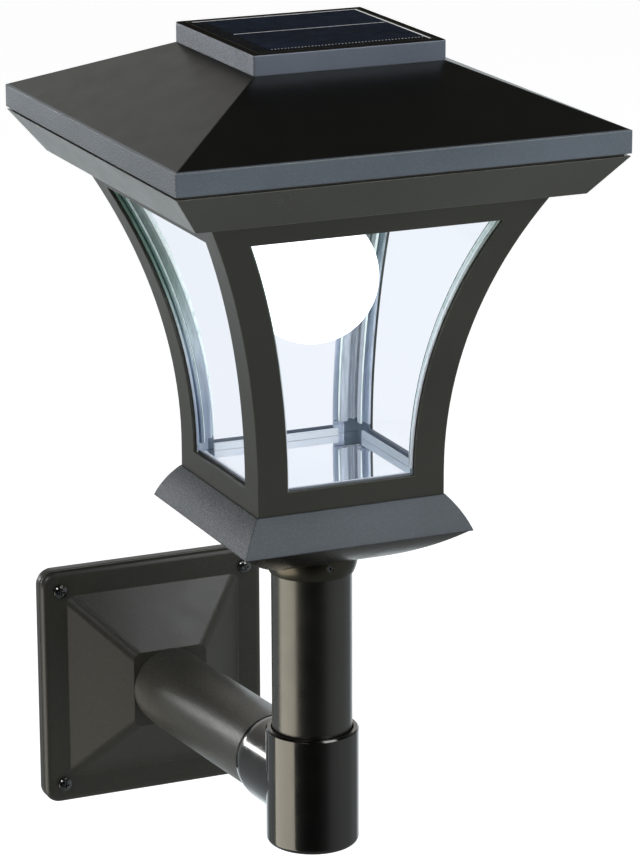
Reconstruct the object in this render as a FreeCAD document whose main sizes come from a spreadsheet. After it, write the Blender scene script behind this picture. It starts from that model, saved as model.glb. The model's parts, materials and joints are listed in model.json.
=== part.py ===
import FreeCAD, Part
import math
import os

import Sketcher
from FreeCAD import Placement, Rotation, Vector

# Solar wall lantern, in millimetres.
# Frame: the origin is the middle of the bracket's back, on the wall. +X runs along the wall,
# +Y into the wall and +Z up, so the lantern stands out towards -Y.
# The lantern, its post and its head are drawn about the post's axis, from the skirt's lower edge.

SIZES = [
    # Wall plate and its fixings
    ("reach", 241.5, "wall to post axis"),
    ("plate_width", 136, "wall plate along the wall"),
    ("plate_height", 141, "wall plate, upright"),
    ("plate_rim_depth", 10.5, "wall to the rim's front face"),
    ("plate_wall", 2.6, "thickness of the cast plate"),
    ("plate_corner_radius", 9, "rim corners"),
    ("plate_edge_radius", 3.6, "front edge of the rim"),
    ("plate_groove_width", 1.2, "groove round the rim's side"),
    ("plate_groove_depth", 0.8, "groove round the rim's side"),
    ("plate_groove_setback", 5.2, "rim front to the groove's far side"),
    ("pyramid_base_width", 106, "foot of the raised pyramid"),
    ("pyramid_base_height", 110, "foot of the raised pyramid"),
    ("pyramid_top_width", 45, "flat that carries the arm"),
    ("pyramid_depth", 26, "rim front to the flat"),
    ("pyramid_hip_radius", 8, "soft hips of the pyramid"),
    ("wall_gasket_width", 2, "rubber seal behind the rim"),
    ("wall_gasket_thickness", 1.5, "rubber seal behind the rim"),
    ("wall_screw_spacing_x", 114, "screw pattern along the wall"),
    ("wall_screw_spacing_z", 118, "screw pattern, upright"),
    ("wall_screw_diameter", 4.2, "screw shank in the wall"),
    ("wall_screw_neck_diameter", 3.6, "plain neck in the plate"),
    ("wall_screw_head_diameter", 8, "pan head"),
    ("wall_screw_head_height", 3.2, "pan head"),
    ("wall_screw_reach", 18, "shank beyond the wall plane"),
    ("wall_screw_hole_diameter", 5, "holes in the plate"),
    ("screw_recess_width", 1, "cross recesses"),
    # Arm and tee
    ("arm_diameter", 45, "arm tube, outside"),
    ("arm_wall", 2.4, "arm tube wall"),
    ("arm_stub_length", 15, "square run out of the plate"),
    ("arm_bend_radius", 180, "soft elbow"),
    ("arm_level", 2, "plate middle up to the arm's foot"),
    ("arm_rise", 14.8, "arm's foot up to its line's end at the post"),
    ("arm_plug_length", 12, "threaded disc in the arm's end"),
    ("arm_bolt_diameter", 6, "bolts behind the plate"),
    ("arm_bolt_circle_diameter", 24, "three bolts"),
    ("arm_bolt_length", 12, "under the head"),
    ("arm_bolt_head_diameter", 10, "hexagon across corners"),
    ("arm_bolt_head_height", 4, "hexagon head"),
    ("tee_diameter", 49.2, "both sleeves of the tee"),
    ("tee_height", 64, "upright sleeve"),
    ("tee_branch_length", 51, "post axis to the branch's rim"),
    ("tee_branch_nose", 9, "rounded end of the branch"),
    ("tee_branch_lip", 0.5, "thin edge of the branch round the arm"),
    ("tee_floor", 4, "closed lower end"),
    ("tee_foot_radius", 3, "lower edge"),
    ("tee_rim_chamfer", 0.8, "upper edge"),
    ("tee_bore_gap", 0.7, "round the post, shows as a dark ring"),
    ("tee_throat_depth", 6, "step that stops the arm"),
    ("grub_diameter", 5, "set screws"),
    ("grub_socket_diameter", 2.6, "hexagon socket"),
    ("grub_socket_depth", 2, "hexagon socket"),
    # Post
    ("post_diameter", 42.4, "upright tube, outside"),
    ("post_wall", 2, "upright tube wall"),
    # Heights from the skirt's lower edge
    ("skirt_level", 165.2, "plate middle up to the skirt's lower edge"),
    ("tee_drop", 182, "skirt edge down to the tee's lower end"),
    ("collar_drop", 31, "skirt edge down to the collar's lip"),
    ("cup_drop", 22, "skirt edge down to where the collar starts"),
    ("post_top_drop", 9, "skirt edge down to the post's upper end"),
    ("base_level", 17.8, "joint between skirt and body"),
    ("sill_level", 29.5, "lower edge of the windows"),
    ("flare_level", 30, "where the faces start to flare"),
    ("window_top_level", 166.5, "upper edge of the windows"),
    ("soffit_level", 180.5, "underside of the tray"),
    ("tray_top_level", 201, "upper edge of the tray's sloping side"),
    ("fascia_level", 202.4, "lower edge of the roof"),
    ("fascia_height", 11.4, "upright edge of the roof"),
    ("roof_rise", 28.4, "fascia up to the panel frame"),
    ("panel_frame_height", 10.5, "frame round the solar panel"),
    # Base cup, collar and skirt
    ("skirt_ledge", 0.5, "skirt's upper edge beyond the body"),
    ("skirt_spread", 11, "skirt's lower edge beyond its upper edge"),
    ("skirt_face_radius", 55, "bulge of the skirt's faces"),
    ("skirt_wall", 2.4, "skirt wall"),
    ("cup_set_in", 1, "skirt's lower edge to the cup's upper edge"),
    ("cup_neck_width", 40, "cup where it meets the collar"),
    ("cup_face_radius", 115, "bulge of the cup's faces"),
    ("cup_wall", 2.4, "cup wall"),
    ("collar_diameter", 48.6, "collar bead"),
    ("collar_lip_diameter", 44.6, "collar's lower lip"),
    ("collar_bead_radius", 12, "rounding of the collar"),
    ("collar_screw_drop", 24, "skirt edge down to the set screws"),
    # Body with its bent panes
    ("body_width", 103, "across the foot of the body"),
    ("body_wall", 1.6, "frame thickness"),
    ("corner_post_width", 16.5, "frame beside each window"),
    ("window_corner_radius", 1.5, "corners of the windows"),
    ("body_edge_radius", 0.8, "outer corners"),
    ("body_flange_width", 16, "inward flange at the foot"),
    ("body_flange_thickness", 2.4, "inward flange at the foot"),
    ("pane_thickness", 2.4, "bent glass"),
    ("pane_overlap", 4, "glass behind the frame at the sides"),
    ("pane_end_overlap", 3.6, "glass behind the frame at the top"),
    ("retainer_thickness", 1.2, "silver corner retainers"),
    ("retainer_lip", 3, "channel lip over the glass"),
    ("retainer_rib", 1.1, "ribs along the retainers"),
    ("retainer_rib_height", 2, "stiffening rib"),
    ("retainer_rib_offset", 6, "body side to the stiffening rib"),
    ("retainer_sight", 1.2, "retainer that shows beside the frame"),
    ("clip_height", 7, "dark corner clips under the retainers"),
    ("clip_leg", 10.2, "shorter leg of a corner clip"),
    ("sill_height", 4, "silver sill strips inside the glass"),
    ("sill_thickness", 1.2, "silver sill strips inside the glass"),
    ("seal_stand_out", 0.8, "rubber above the windows' lower edges"),
    ("reflector_level", 25.6, "mirror floor, upper face"),
    ("reflector_thickness", 1.2, "mirror floor"),
    ("base_screw_diameter", 4, "screws that join body, skirt and cup"),
    ("base_screw_head_diameter", 7, "same"),
    ("base_screw_head_height", 2, "same"),
    ("base_screw_bite", 9, "below the skirt's lower edge"),
    ("base_screw_share", 0.75, "flange width from the wall to the screws"),
    ("base_boss_diameter", 8, "bosses in the cup"),
    # Head
    ("roof_width", 240, "across the fascia"),
    ("roof_wall", 2.4, "roof shell"),
    ("roof_edge_radius", 0.8, "hips and corners"),
    ("roof_pillar_diameter", 8, "screw pillars under the roof"),
    ("tray_set_in", 0.5, "fascia to the tray's upper edge"),
    ("tray_side_run", 15.8, "level run of the tray's sloping side"),
    ("soffit_ledge", 11.7, "tray's underside beyond the body's top"),
    ("tray_lip_height", 5, "lip inside the fascia"),
    ("tray_lip_wall", 2, "lip inside the fascia"),
    ("tray_lip_gap", 0.6, "lip to fascia"),
    ("tray_wall", 2.4, "tray shell"),
    ("tray_rib_set_in", 6, "body's top edge to the rib that centres the head"),
    ("tray_rib_height", 5, "same rib"),
    ("tray_rib_wall", 2, "same rib"),
    ("tray_screw_set_in", 12, "rib to the head screws"),
    ("tray_screw_diameter", 3.5, "head screws"),
    ("tray_screw_head_diameter", 7, "head screws"),
    ("tray_screw_head_height", 2, "head screws"),
    ("tray_screw_length", 16, "head screws"),
    ("head_lift_gap", 0.2, "body to tray at rest"),
    # Solar panel
    ("panel_frame_width", 103, "square panel frame"),
    ("panel_frame_wall", 4.2, "width of the frame's rim"),
    ("panel_recess", 0.3, "panel below the rim"),
    ("panel_thickness", 2.2, "glass and cells"),
    ("panel_gap", 0.3, "panel to frame"),
    ("panel_seal_width", 6, "foam under the panel"),
    ("wire_hole_diameter", 7, "wire hole under the panel"),
    # Bulb and its holder
    ("globe_diameter", 70, "frosted globe"),
    ("globe_wall", 1.4, "frosted globe"),
    ("globe_mouth_diameter", 34, "opening at the neck"),
    ("globe_centre_level", 126.5, "middle of the globe"),
    ("neck_height", 11, "plastic neck above the globe"),
    ("neck_wall", 1.6, "plastic neck"),
    ("cap_diameter", 26.2, "metal cap"),
    ("cap_height", 19, "metal cap"),
    ("cap_wall", 0.8, "metal cap"),
    ("cap_tip_diameter", 9, "centre contact"),
    ("cap_tip_height", 2, "centre contact"),
    ("holder_diameter", 36, "lamp holder sleeve"),
    ("holder_flange_diameter", 46, "lamp holder flange in the tray"),
    ("holder_flange_thickness", 2.2, "same flange"),
    ("holder_drop", 10, "holder below the tray"),
    ("holder_top_thickness", 3, "closed end of the holder"),
    ("led_board_diameter", 29, "round board in the globe's mouth"),
    ("led_board_thickness", 1.4, "same board"),
    ("led_width", 3, "light-emitting chips"),
    ("led_height", 0.9, "light-emitting chips"),
    ("led_circle_diameter", 18, "ring of chips"),
    # Electronics in the tray
    ("board_length", 60, "control board along the wall"),
    ("board_width", 38, "control board"),
    ("board_thickness", 1.6, "control board"),
    ("board_offset", 60, "post axis to the board's middle"),
    ("board_post_diameter", 6, "posts under the board"),
    ("board_post_height", 5, "posts under the board"),
    ("board_screw_inset", 4, "board edge to its screws"),
    ("board_screw_head_diameter", 4.6, "board screws"),
    ("board_screw_head_height", 1.6, "board screws"),
    ("board_screw_diameter", 2.4, "board screws"),
    ("board_screw_length", 5, "board screws"),
    ("chip_width", 9, "parts on the board"),
    ("chip_height", 3, "parts on the board"),
    ("cell_diameter", 18.4, "rechargeable cell"),
    ("cell_length", 65, "rechargeable cell"),
    ("cell_set_in", 2, "cell's axis towards the bulb from midway to the rib"),
    ("cell_tip_diameter", 6, "positive tip"),
    ("cell_tip_height", 1.2, "positive tip"),
    ("hatch_width", 24, "battery hatch across the cell"),
    ("hatch_length", 74, "battery hatch along the cell"),
    ("hatch_gap", 0.4, "hatch to its opening"),
    ("hatch_lip", 3, "flange of the hatch over the tray"),
    ("hatch_lip_thickness", 1.6, "flange of the hatch"),
    ("hatch_screw_diameter", 3, "hatch screws"),
    ("hatch_screw_head_diameter", 5, "hatch screws"),
    ("hatch_screw_head_height", 1.4, "hatch screws"),
    ("hatch_screw_length", 7, "hatch screws"),
    ("hatch_ear", 9, "ears that take the hatch screws"),
    ("cradle_height", 6, "saddles under the cell"),
    ("cradle_thickness", 3, "saddles under the cell"),
    ("well_wall", 1.8, "walls of the battery well"),
    ("well_height", 22, "walls of the battery well"),
    ("contact_thickness", 0.8, "spring contacts"),
    ("contact_width", 14, "spring contacts"),
    ("contact_height", 14, "spring contacts"),
    # Switch
    ("switch_offset", 52, "post axis to the switch"),
    ("switch_width", 14, "switch housing"),
    ("switch_height", 10, "switch housing"),
    ("switch_bore_diameter", 9.6, "bore for the button"),
    ("switch_nose_diameter", 12, "nose through the tray"),
    ("switch_nose_height", 1.2, "nose below the tray"),
    ("button_diameter", 9, "push button"),
    ("button_height", 9, "push button"),
    ("button_stand_out", 3.6, "button below the nose"),
    ("button_travel", 2.5, "press of the button"),
    ("button_edge_radius", 1, "button's lower edge"),
    # Wires
    ("wire_diameter", 1.6, "insulated wires in the head"),
    ("wire_bend_radius", 6, "insulated wires in the head"),
    # Clearances
    ("gap", 0.3, "between seated pieces"),
    ("overrun", 5, "cuts run past the solid by this"),
]

doc = FreeCAD.newDocument("solar_wall_lantern")
sheet = doc.addObject("Spreadsheet::Sheet", "sizes")
for row, (alias, value, note) in enumerate(SIZES, start=1):
    sheet.set("A%d" % row, alias)
    sheet.set("B%d" % row, str(value))
    sheet.set("C%d" % row, note)
    sheet.setAlias("B%d" % row, alias)
doc.recompute()


class Size:
    """A length with its formula, so that what is drawn with it can be bound to the sheet."""

    def __init__(self, value, formula):
        self.value = float(value)
        self.formula = formula

    @staticmethod
    def of(other):
        return other if isinstance(other, Size) else Size(other, repr(other))

    def __add__(self, other):
        other = Size.of(other)
        return Size(self.value + other.value, "(%s + %s)" % (self.formula, other.formula))

    def __sub__(self, other):
        other = Size.of(other)
        return Size(self.value - other.value, "(%s - %s)" % (self.formula, other.formula))

    def __mul__(self, other):
        other = Size.of(other)
        return Size(self.value * other.value, "(%s * %s)" % (self.formula, other.formula))

    def __truediv__(self, other):
        other = Size.of(other)
        return Size(self.value / other.value, "(%s / %s)" % (self.formula, other.formula))

    def __neg__(self):
        return Size(-self.value, "(-%s)" % self.formula)

    def root(self):
        return Size(math.sqrt(self.value), "sqrt(%s)" % self.formula)


class Sheet:
    """Reads each named size back from the sheet."""

    def __getattr__(self, name):
        return Size(sheet.get(name), "sizes." + name)


S = Sheet()
ZERO = Size(0, "0")
X_AXIS = Vector(1, 0, 0)
Z_AXIS = Vector(0, 0, 1)
QUARTER_TURNS = (0, 90, 180, 270)


def bind(obj, prop, size):
    """Sets a property to a size and ties it to the sheet."""
    obj.setExpression(prop, Size.of(size).formula)


def place(obj, x=ZERO, y=ZERO, z=ZERO, rotation=None):
    """Puts an object at a bound place."""
    x, y, z = Size.of(x), Size.of(y), Size.of(z)
    obj.Placement = Placement(Vector(x.value, y.value, z.value), rotation or Rotation())
    for axis, size in (("x", x), ("y", y), ("z", z)):
        bind(obj, "Placement.Base." + axis, size)
    return obj


# Places of the lantern's own axis and of the wall plate in the frame
AXIS_Y = -S.reach
FACING_OUT = Rotation(X_AXIS, 90)


def on_axis(obj, z=ZERO, rotation=None):
    """Puts a piece that was drawn about the post's axis and from the skirt's edge."""
    return place(obj, ZERO, AXIS_Y, S.skirt_level + z, rotation)


class Arc:
    """A corner that is reached by an arc about a centre."""

    def __init__(self, x, y, centre_x, centre_y, radius):
        self.corner = (Size.of(x), Size.of(y))
        self.centre = (Size.of(centre_x), Size.of(centre_y))
        self.radius = Size.of(radius)


def corner_of(item):
    return item.corner if isinstance(item, Arc) else (Size.of(item[0]), Size.of(item[1]))


def arc_piece(start, end, centre, radius):
    """The shorter arc between two corners, and whether it runs from start to end."""
    first = math.atan2(start.y - centre.y, start.x - centre.x)
    last = math.atan2(end.y - centre.y, end.x - centre.x)
    forward = (last - first) % (2 * math.pi) < math.pi
    circle = Part.Circle(centre, Z_AXIS, radius)
    if forward:
        return Part.ArcOfCircle(circle, first, last), True
    return Part.ArcOfCircle(circle, last, first), False


def draw(sketch, outline):
    """Draws a closed outline and ties every corner to the sheet."""
    ends = []
    for number, item in enumerate(outline):
        before = corner_of(outline[number - 1])
        after = corner_of(item)
        start = Vector(before[0].value, before[1].value, 0)
        end = Vector(after[0].value, after[1].value, 0)
        if isinstance(item, Arc):
            centre = Vector(item.centre[0].value, item.centre[1].value, 0)
            piece, forward = arc_piece(start, end, centre, item.radius.value)
        else:
            piece, forward = Part.LineSegment(start, end), True
        index = sketch.addGeometry(piece)
        ends.append((index, 1 if forward else 2, 2 if forward else 1))
    for number, item in enumerate(outline):
        index, start_end, far_end = ends[number]
        next_index, next_start, next_far = ends[(number + 1) % len(outline)]
        sketch.addConstraint(Sketcher.Constraint("Coincident", index, far_end, next_index, next_start))
        for kind, axis, size in zip(("DistanceX", "DistanceY"), (-2, -1), corner_of(item)):
            if size.formula == "0":
                sketch.addConstraint(Sketcher.Constraint("PointOnObject", index, far_end, axis))
            else:
                rule = Sketcher.Constraint(kind, -1, 1, index, far_end, size.value)
                sketch.setExpression("Constraints[%d]" % sketch.addConstraint(rule), size.formula)
        if isinstance(item, Arc):
            rule = Sketcher.Constraint("Radius", index, item.radius.value)
            sketch.setExpression("Constraints[%d]" % sketch.addConstraint(rule), item.radius.formula)


def draw_circle(sketch, diameter, x=ZERO, y=ZERO):
    """Draws a circle at a bound place."""
    x, y = Size.of(x), Size.of(y)
    index = sketch.addGeometry(Part.Circle(Vector(x.value, y.value, 0), Z_AXIS, diameter.value / 2))
    for kind, axis, size in (("DistanceX", -2, x), ("DistanceY", -1, y)):
        if size.formula == "0":
            sketch.addConstraint(Sketcher.Constraint("PointOnObject", index, 3, axis))
        else:
            rule = Sketcher.Constraint(kind, -1, 1, index, 3, size.value)
            sketch.setExpression("Constraints[%d]" % sketch.addConstraint(rule), size.formula)
    rule = Sketcher.Constraint("Diameter", index, diameter.value)
    sketch.setExpression("Constraints[%d]" % sketch.addConstraint(rule), diameter.formula)
    return index


def rectangle(half_x, half_y, x=ZERO, y=ZERO):
    """Corners of a rectangle about a place."""
    x, y = Size.of(x), Size.of(y)
    return [(x - half_x, y - half_y), (x + half_x, y - half_y),
            (x + half_x, y + half_y), (x - half_x, y + half_y)]


def rounded_rectangle(half_x, half_y, radius):
    """A rectangle about the origin with round corners."""
    flat_x = half_x - radius
    flat_y = half_y - radius
    return [(flat_x, -half_y), Arc(half_x, -flat_y, flat_x, -flat_y, radius),
            (half_x, flat_y), Arc(flat_x, half_y, flat_x, flat_y, radius),
            (-flat_x, half_y), Arc(-half_x, flat_y, -flat_x, flat_y, radius),
            (-half_x, -flat_y), Arc(-flat_x, -half_y, -flat_x, -flat_y, radius)]


# Bodies with sketches and features

def new_body(name):
    return doc.addObject("PartDesign::Body", name)


def plane_of(body, role):
    return [item for item in body.Origin.OriginFeatures if item.Role == role][0]


def sketch_in(body, role, outline=None, offset=ZERO, circles=()):
    """A sketch on one of the body's own planes, with an outline and round holes."""
    sketch = body.newObject("Sketcher::SketchObject", body.Name + "_sketch")
    sketch.AttachmentSupport = [(plane_of(body, role), "")]
    sketch.MapMode = "FlatFace"
    offset = Size.of(offset)
    if offset.formula != "0":
        sketch.AttachmentOffset = Placement(Vector(0, 0, offset.value), Rotation())
        bind(sketch, "AttachmentOffset.Base.z", offset)
    if outline:
        draw(sketch, outline)
    for circle in circles:
        draw_circle(sketch, *circle)
    return sketch


def feature(body, kind, profile, name, **lengths):
    """A feature on a profile with bound lengths."""
    made = body.newObject("PartDesign::" + kind, body.Name + "_" + name)
    made.Profile = profile
    for prop, size in lengths.items():
        bind(made, prop, size)
    profile.Visibility = False
    return made


def pad(body, outline, height, offset=ZERO, circles=(), name="pad"):
    return feature(body, "Pad", sketch_in(body, "XY_Plane", outline, offset, circles), name, Length=height)


def pocket(body, outline, depth, offset=ZERO, circles=(), name="pocket"):
    """A cut downwards from a height, checked to take material away."""
    before = volume_of(body)
    made = feature(body, "Pocket", sketch_in(body, "XY_Plane", outline, offset, circles), name, Length=depth)
    check_cut(body, before, name)
    return made


def volume_of(body):
    doc.recompute()
    return body.Shape.Volume


def check_cut(body, before, name):
    if volume_of(body) >= before:
        raise ValueError("%s: %s cuts nothing" % (body.Label, name))


def pair_of(half):
    return half if isinstance(half, tuple) else (half, half)


def loft(body, kind, lower, upper, name):
    """A straight loft between two sketches."""
    made = body.newObject("PartDesign::" + kind, body.Name + "_" + name)
    made.Profile = lower
    made.Sections = [upper]
    made.Ruled = True
    lower.Visibility = False
    upper.Visibility = False
    return made


def frustum(body, kind, lower_half, z_low, upper_half, z_high, name, upper_shift=ZERO):
    """A frustum between two rectangles, each given by one half width or by a pair of them."""
    before = volume_of(body) if kind.startswith("Sub") else None
    lower = sketch_in(body, "XY_Plane", rectangle(*pair_of(lower_half)), z_low)
    upper = sketch_in(body, "XY_Plane", rectangle(*pair_of(upper_half), ZERO, upper_shift), z_high)
    made = loft(body, kind, lower, upper, name)
    if before is not None:
        check_cut(body, before, name)
    return made


def turned(name, outline):
    """A body turned about its own upright axis."""
    body = new_body(name)
    sketch = sketch_in(body, "XZ_Plane", outline)
    made = body.newObject("PartDesign::Revolution", name + "_turn")
    made.Profile = sketch
    made.ReferenceAxis = (sketch, ["V_Axis"])
    made.Angle = 360
    sketch.Visibility = False
    return body


def round_edges(body, size, chosen, kind="Fillet"):
    """Rounds or chamfers the edges that a test picks out of the body's last shape."""
    doc.recompute()
    tip = body.Tip
    names = ["Edge%d" % number for number, edge in enumerate(tip.Shape.Edges, start=1) if chosen(edge)]
    if not names:
        raise ValueError("%s: no edge to round" % body.Label)
    made = body.newObject("PartDesign::" + kind, body.Name + "_" + kind.lower())
    made.Base = (tip, names)
    bind(made, "Radius" if kind == "Fillet" else "Size", size)
    return made


def direction_of(edge):
    """The unit direction of a straight edge, or None."""
    if not isinstance(edge.Curve, (Part.Line, Part.LineSegment)):
        return None
    return (edge.lastVertex(True).Point - edge.firstVertex(True).Point).normalize()


def middle_of(edge):
    return edge.valueAt((edge.FirstParameter + edge.LastParameter) / 2)


def is_level(edge, height, tolerance=1e-4):
    """Whether the whole edge lies at a height."""
    box = edge.BoundBox
    return abs(box.ZMin - height) < tolerance and abs(box.ZMax - height) < tolerance


# Shapes joined and cut as a whole

def box(name, half_x, half_y, z_low, z_high, x=ZERO, y=ZERO):
    """A block about a place, between two heights."""
    made = doc.addObject("Part::Box", name)
    bind(made, "Length", half_x * 2)
    bind(made, "Width", half_y * 2)
    bind(made, "Height", Size.of(z_high) - z_low)
    return place(made, Size.of(x) - half_x, Size.of(y) - half_y, z_low)


def cylinder(name, diameter, height, x=ZERO, y=ZERO, z=ZERO, rotation=None):
    made = doc.addObject("Part::Cylinder", name)
    bind(made, "Radius", diameter / 2)
    bind(made, "Height", height)
    return place(made, x, y, z, rotation)


def cut(name, base, tool):
    made = doc.addObject("Part::Cut", name)
    made.Base = base
    made.Tool = tool
    return made


def common(name, base, tool):
    made = doc.addObject("Part::Common", name)
    made.Base = base
    made.Tool = tool
    return made


def fuse(name, shapes):
    made = doc.addObject("Part::MultiFuse", name)
    made.Shapes = shapes
    made.Refine = True
    return made


def group(name, shapes):
    """Separate solids that share one node."""
    made = doc.addObject("Part::Compound", name)
    made.Links = shapes
    return made


def prism(name, outline, half_length, along_y):
    """An upright outline drawn across the lantern and run through it, both ways from the axis."""
    sketch = doc.addObject("Sketcher::SketchObject", name + "_sketch")
    turn = Rotation(X_AXIS, 90)
    sketch.Placement = Placement(Vector(), turn if along_y else Rotation(Z_AXIS, 90).multiply(turn))
    draw(sketch, outline)
    made = doc.addObject("Part::Extrusion", name)
    made.Base = sketch
    made.DirMode = "Normal"
    made.Solid = True
    made.Symmetric = True
    bind(made, "LengthFwd", half_length * 2)
    sketch.Visibility = False
    return made


def crossed(name, outline, half_length):
    """A four-sided solid whose front, back and sides all follow one outline."""
    return common(name, prism(name + "_front", outline, half_length, True),
                  prism(name + "_side", outline, half_length, False))


def revolved(name, outline):
    """A solid turned about its own upright axis, for small repeated pieces."""
    sketch = doc.addObject("Sketcher::SketchObject", name + "_sketch")
    sketch.Placement = Placement(Vector(), Rotation(X_AXIS, 90))
    draw(sketch, outline)
    made = doc.addObject("Part::Revolution", name)
    made.Source = sketch
    made.Axis = Z_AXIS
    made.Angle = 360
    made.Solid = True
    sketch.Visibility = False
    return made


def pan_screw(name, head_diameter, head_height, diameter, length, recess=None):
    """A domed screw, head up: its head sits on height zero, its shank hangs below."""
    dome = head_height / 2
    radius = (head_diameter * head_diameter / 4 + dome * dome) / (dome * 2)
    made = revolved(name + "_blank", [
        (ZERO, -length), (diameter / 2, -length), (diameter / 2, ZERO), (head_diameter / 2, ZERO),
        (head_diameter / 2, head_height - dome),
        Arc(ZERO, head_height, ZERO, head_height - radius, radius)])
    if recess is None:
        return made
    slots = fuse(name + "_recess", [
        box(name + "_slot_%d" % turn, recess / 2 if turn else head_diameter / 4,
            head_diameter / 4 if turn else recess / 2, head_height / 2, head_height * 2)
        for turn in (0, 1)])
    return cut(name, made, slots)


def grub_screw(name, length):
    """A socket set screw with its socket up and its point at height zero."""
    blank = cylinder(name + "_blank", S.grub_diameter, length)
    socket = cylinder(name + "_socket", S.grub_socket_diameter, S.grub_socket_depth + S.overrun,
                      z=length - S.grub_socket_depth)
    return cut(name, blank, socket)


# Flared outlines of the body

def flare_outline(shift, depth, z_low, z_high):
    """Outline of the flared body, its sides moved in by a shift or sunk in by a depth.

    The sides stand straight up to the flare level and then follow an arc outwards. A shift moves
    them level, which keeps the corner posts one width; a depth keeps one wall thickness.
    """
    foot = S.body_width / 2 - shift - depth
    centre_x = S.body_width / 2 - shift + FLARE_RADIUS
    radius = FLARE_RADIUS + depth
    rise = Size.of(z_high) - S.flare_level
    head = centre_x - (radius * radius - rise * rise).root()
    return [(-foot, z_low), (foot, z_low), (foot, S.flare_level),
            Arc(head, z_high, centre_x, S.flare_level, radius),
            (-head, z_high), Arc(-foot, S.flare_level, -centre_x, S.flare_level, radius)]


HALF_SPAN = S.roof_width / 2

# Half widths in steps: body, skirt and cup below; fascia, tray and the body's top above
SKIRT_TOP_HALF = S.body_width / 2 + S.skirt_ledge
SKIRT_HALF = SKIRT_TOP_HALF + S.skirt_spread
CUP_HALF = SKIRT_HALF - S.cup_set_in
TRAY_TOP_HALF = S.roof_width / 2 - S.tray_set_in
TRAY_LOW_HALF = TRAY_TOP_HALF - S.tray_side_run
BODY_TOP_HALF = TRAY_LOW_HALF - S.soffit_ledge
RIB_HALF = BODY_TOP_HALF - S.tray_rib_set_in

# The battery lies between the lamp holder and the rib.
CELL_OFFSET = (S.holder_diameter / 2 + RIB_HALF) / 2 - S.cell_set_in

# The faces' curve starts upright and reaches the body's top width under the tray.
FLARE_RUN = BODY_TOP_HALF - S.body_width / 2
FLARE_RISE = S.soffit_level - S.flare_level
FLARE_RADIUS = (FLARE_RUN * FLARE_RUN + FLARE_RISE * FLARE_RISE) / (FLARE_RUN * 2)


def bulged_outline(half_low, z_low, half_high, z_high, radius):
    """Outline between two widths, with sides that bulge outwards."""
    run = half_high - half_low
    rise = Size.of(z_high) - z_low
    chord = (run * run + rise * rise).root()
    lift = (radius * radius - chord * chord / 4).root()
    if radius.value < chord.value / 2:
        raise ValueError("The radius is too small for its chord")
    centre_x = (half_low + half_high) / 2 - lift * rise / chord
    centre_z = (Size.of(z_low) + z_high) / 2 + lift * run / chord
    return [(half_low, z_low), Arc(half_high, z_high, centre_x, centre_z, radius),
            (-half_high, z_high), Arc(-half_low, z_low, -centre_x, centre_z, radius)]


# Wall bracket

def wall_plate():
    """Cast plate: a rim with a groove round its side and a hollow pyramid that carries the arm."""
    body = new_body("wall_plate")
    half_x = S.plate_width / 2
    half_y = S.plate_height / 2
    corner = S.plate_corner_radius
    front = S.plate_rim_depth
    groove_low = front - S.plate_groove_setback
    groove_high = groove_low + S.plate_groove_width
    inset = S.plate_groove_depth
    pad(body, rounded_rectangle(half_x, half_y, corner), groove_low, name="foot")
    pad(body, rounded_rectangle(half_x - inset, half_y - inset, corner - inset), S.plate_groove_width,
        groove_low, name="groove")
    pad(body, rounded_rectangle(half_x, half_y, corner), front - groove_high, groove_high, name="rim")
    height = front.value
    round_edges(body, S.plate_edge_radius, lambda item: is_level(item, height))
    base = (S.pyramid_base_width / 2, S.pyramid_base_height / 2)
    top = (S.pyramid_top_width / 2, S.pyramid_top_width / 2)
    frustum(body, "AdditiveLoft", base, front, top, front + S.pyramid_depth, "pyramid", S.arm_level)
    low, high = front.value, (front + S.pyramid_depth).value
    round_edges(body, S.pyramid_hip_radius,
                lambda item: item.BoundBox.ZMin < low + 1e-3 and item.BoundBox.ZMax > high - 1e-3)
    wall = S.plate_wall
    hollow_out(body, rounded_rectangle(half_x - wall, half_y - wall, corner - wall), front - wall, "hollow")
    inner_base, inner_top = [], []
    for outer_base, outer_top in zip(base, top):
        slope = (outer_base - outer_top) / S.pyramid_depth
        inset = wall * (slope * slope + 1).root() - slope * wall
        inner_base.append(outer_base - inset)
        inner_top.append(outer_top - inset)
    frustum(body, "SubtractiveLoft", tuple(inner_base), front - wall, tuple(inner_top),
            front + S.pyramid_depth - wall, "pyramid_hollow", S.arm_level)
    spots = [(S.wall_screw_hole_diameter, x, z) for x, z in wall_screw_spots()]
    hollow_out(body, None, front + S.overrun, "screw_holes", spots)
    hollow_out(body, None, front + S.pyramid_depth + S.overrun, "bolt_holes",
               bolt_spots(S.arm_bolt_diameter + S.gap))
    return place(body, rotation=FACING_OUT)


def hollow_out(body, outline, depth, name, circles=(), offset=ZERO):
    """A cut from a height upwards, checked to take material away."""
    before = volume_of(body)
    made = feature(body, "Pocket", sketch_in(body, "XY_Plane", outline, offset, circles), name, Length=depth)
    made.Reversed = True
    check_cut(body, before, name)
    return made


def wall_screw_spots():
    return [(S.wall_screw_spacing_x / 2 * x, S.wall_screw_spacing_z / 2 * z)
            for x in (-1, 1) for z in (-1, 1)]


def bolt_spots(diameter):
    """Three places round the arm's foot, as circles."""
    radius = S.arm_bolt_circle_diameter / 2
    return [(diameter, radius * math.sin(math.radians(turn)),
             S.arm_level + radius * math.cos(math.radians(turn))) for turn in (0, 120, 240)]


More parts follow.
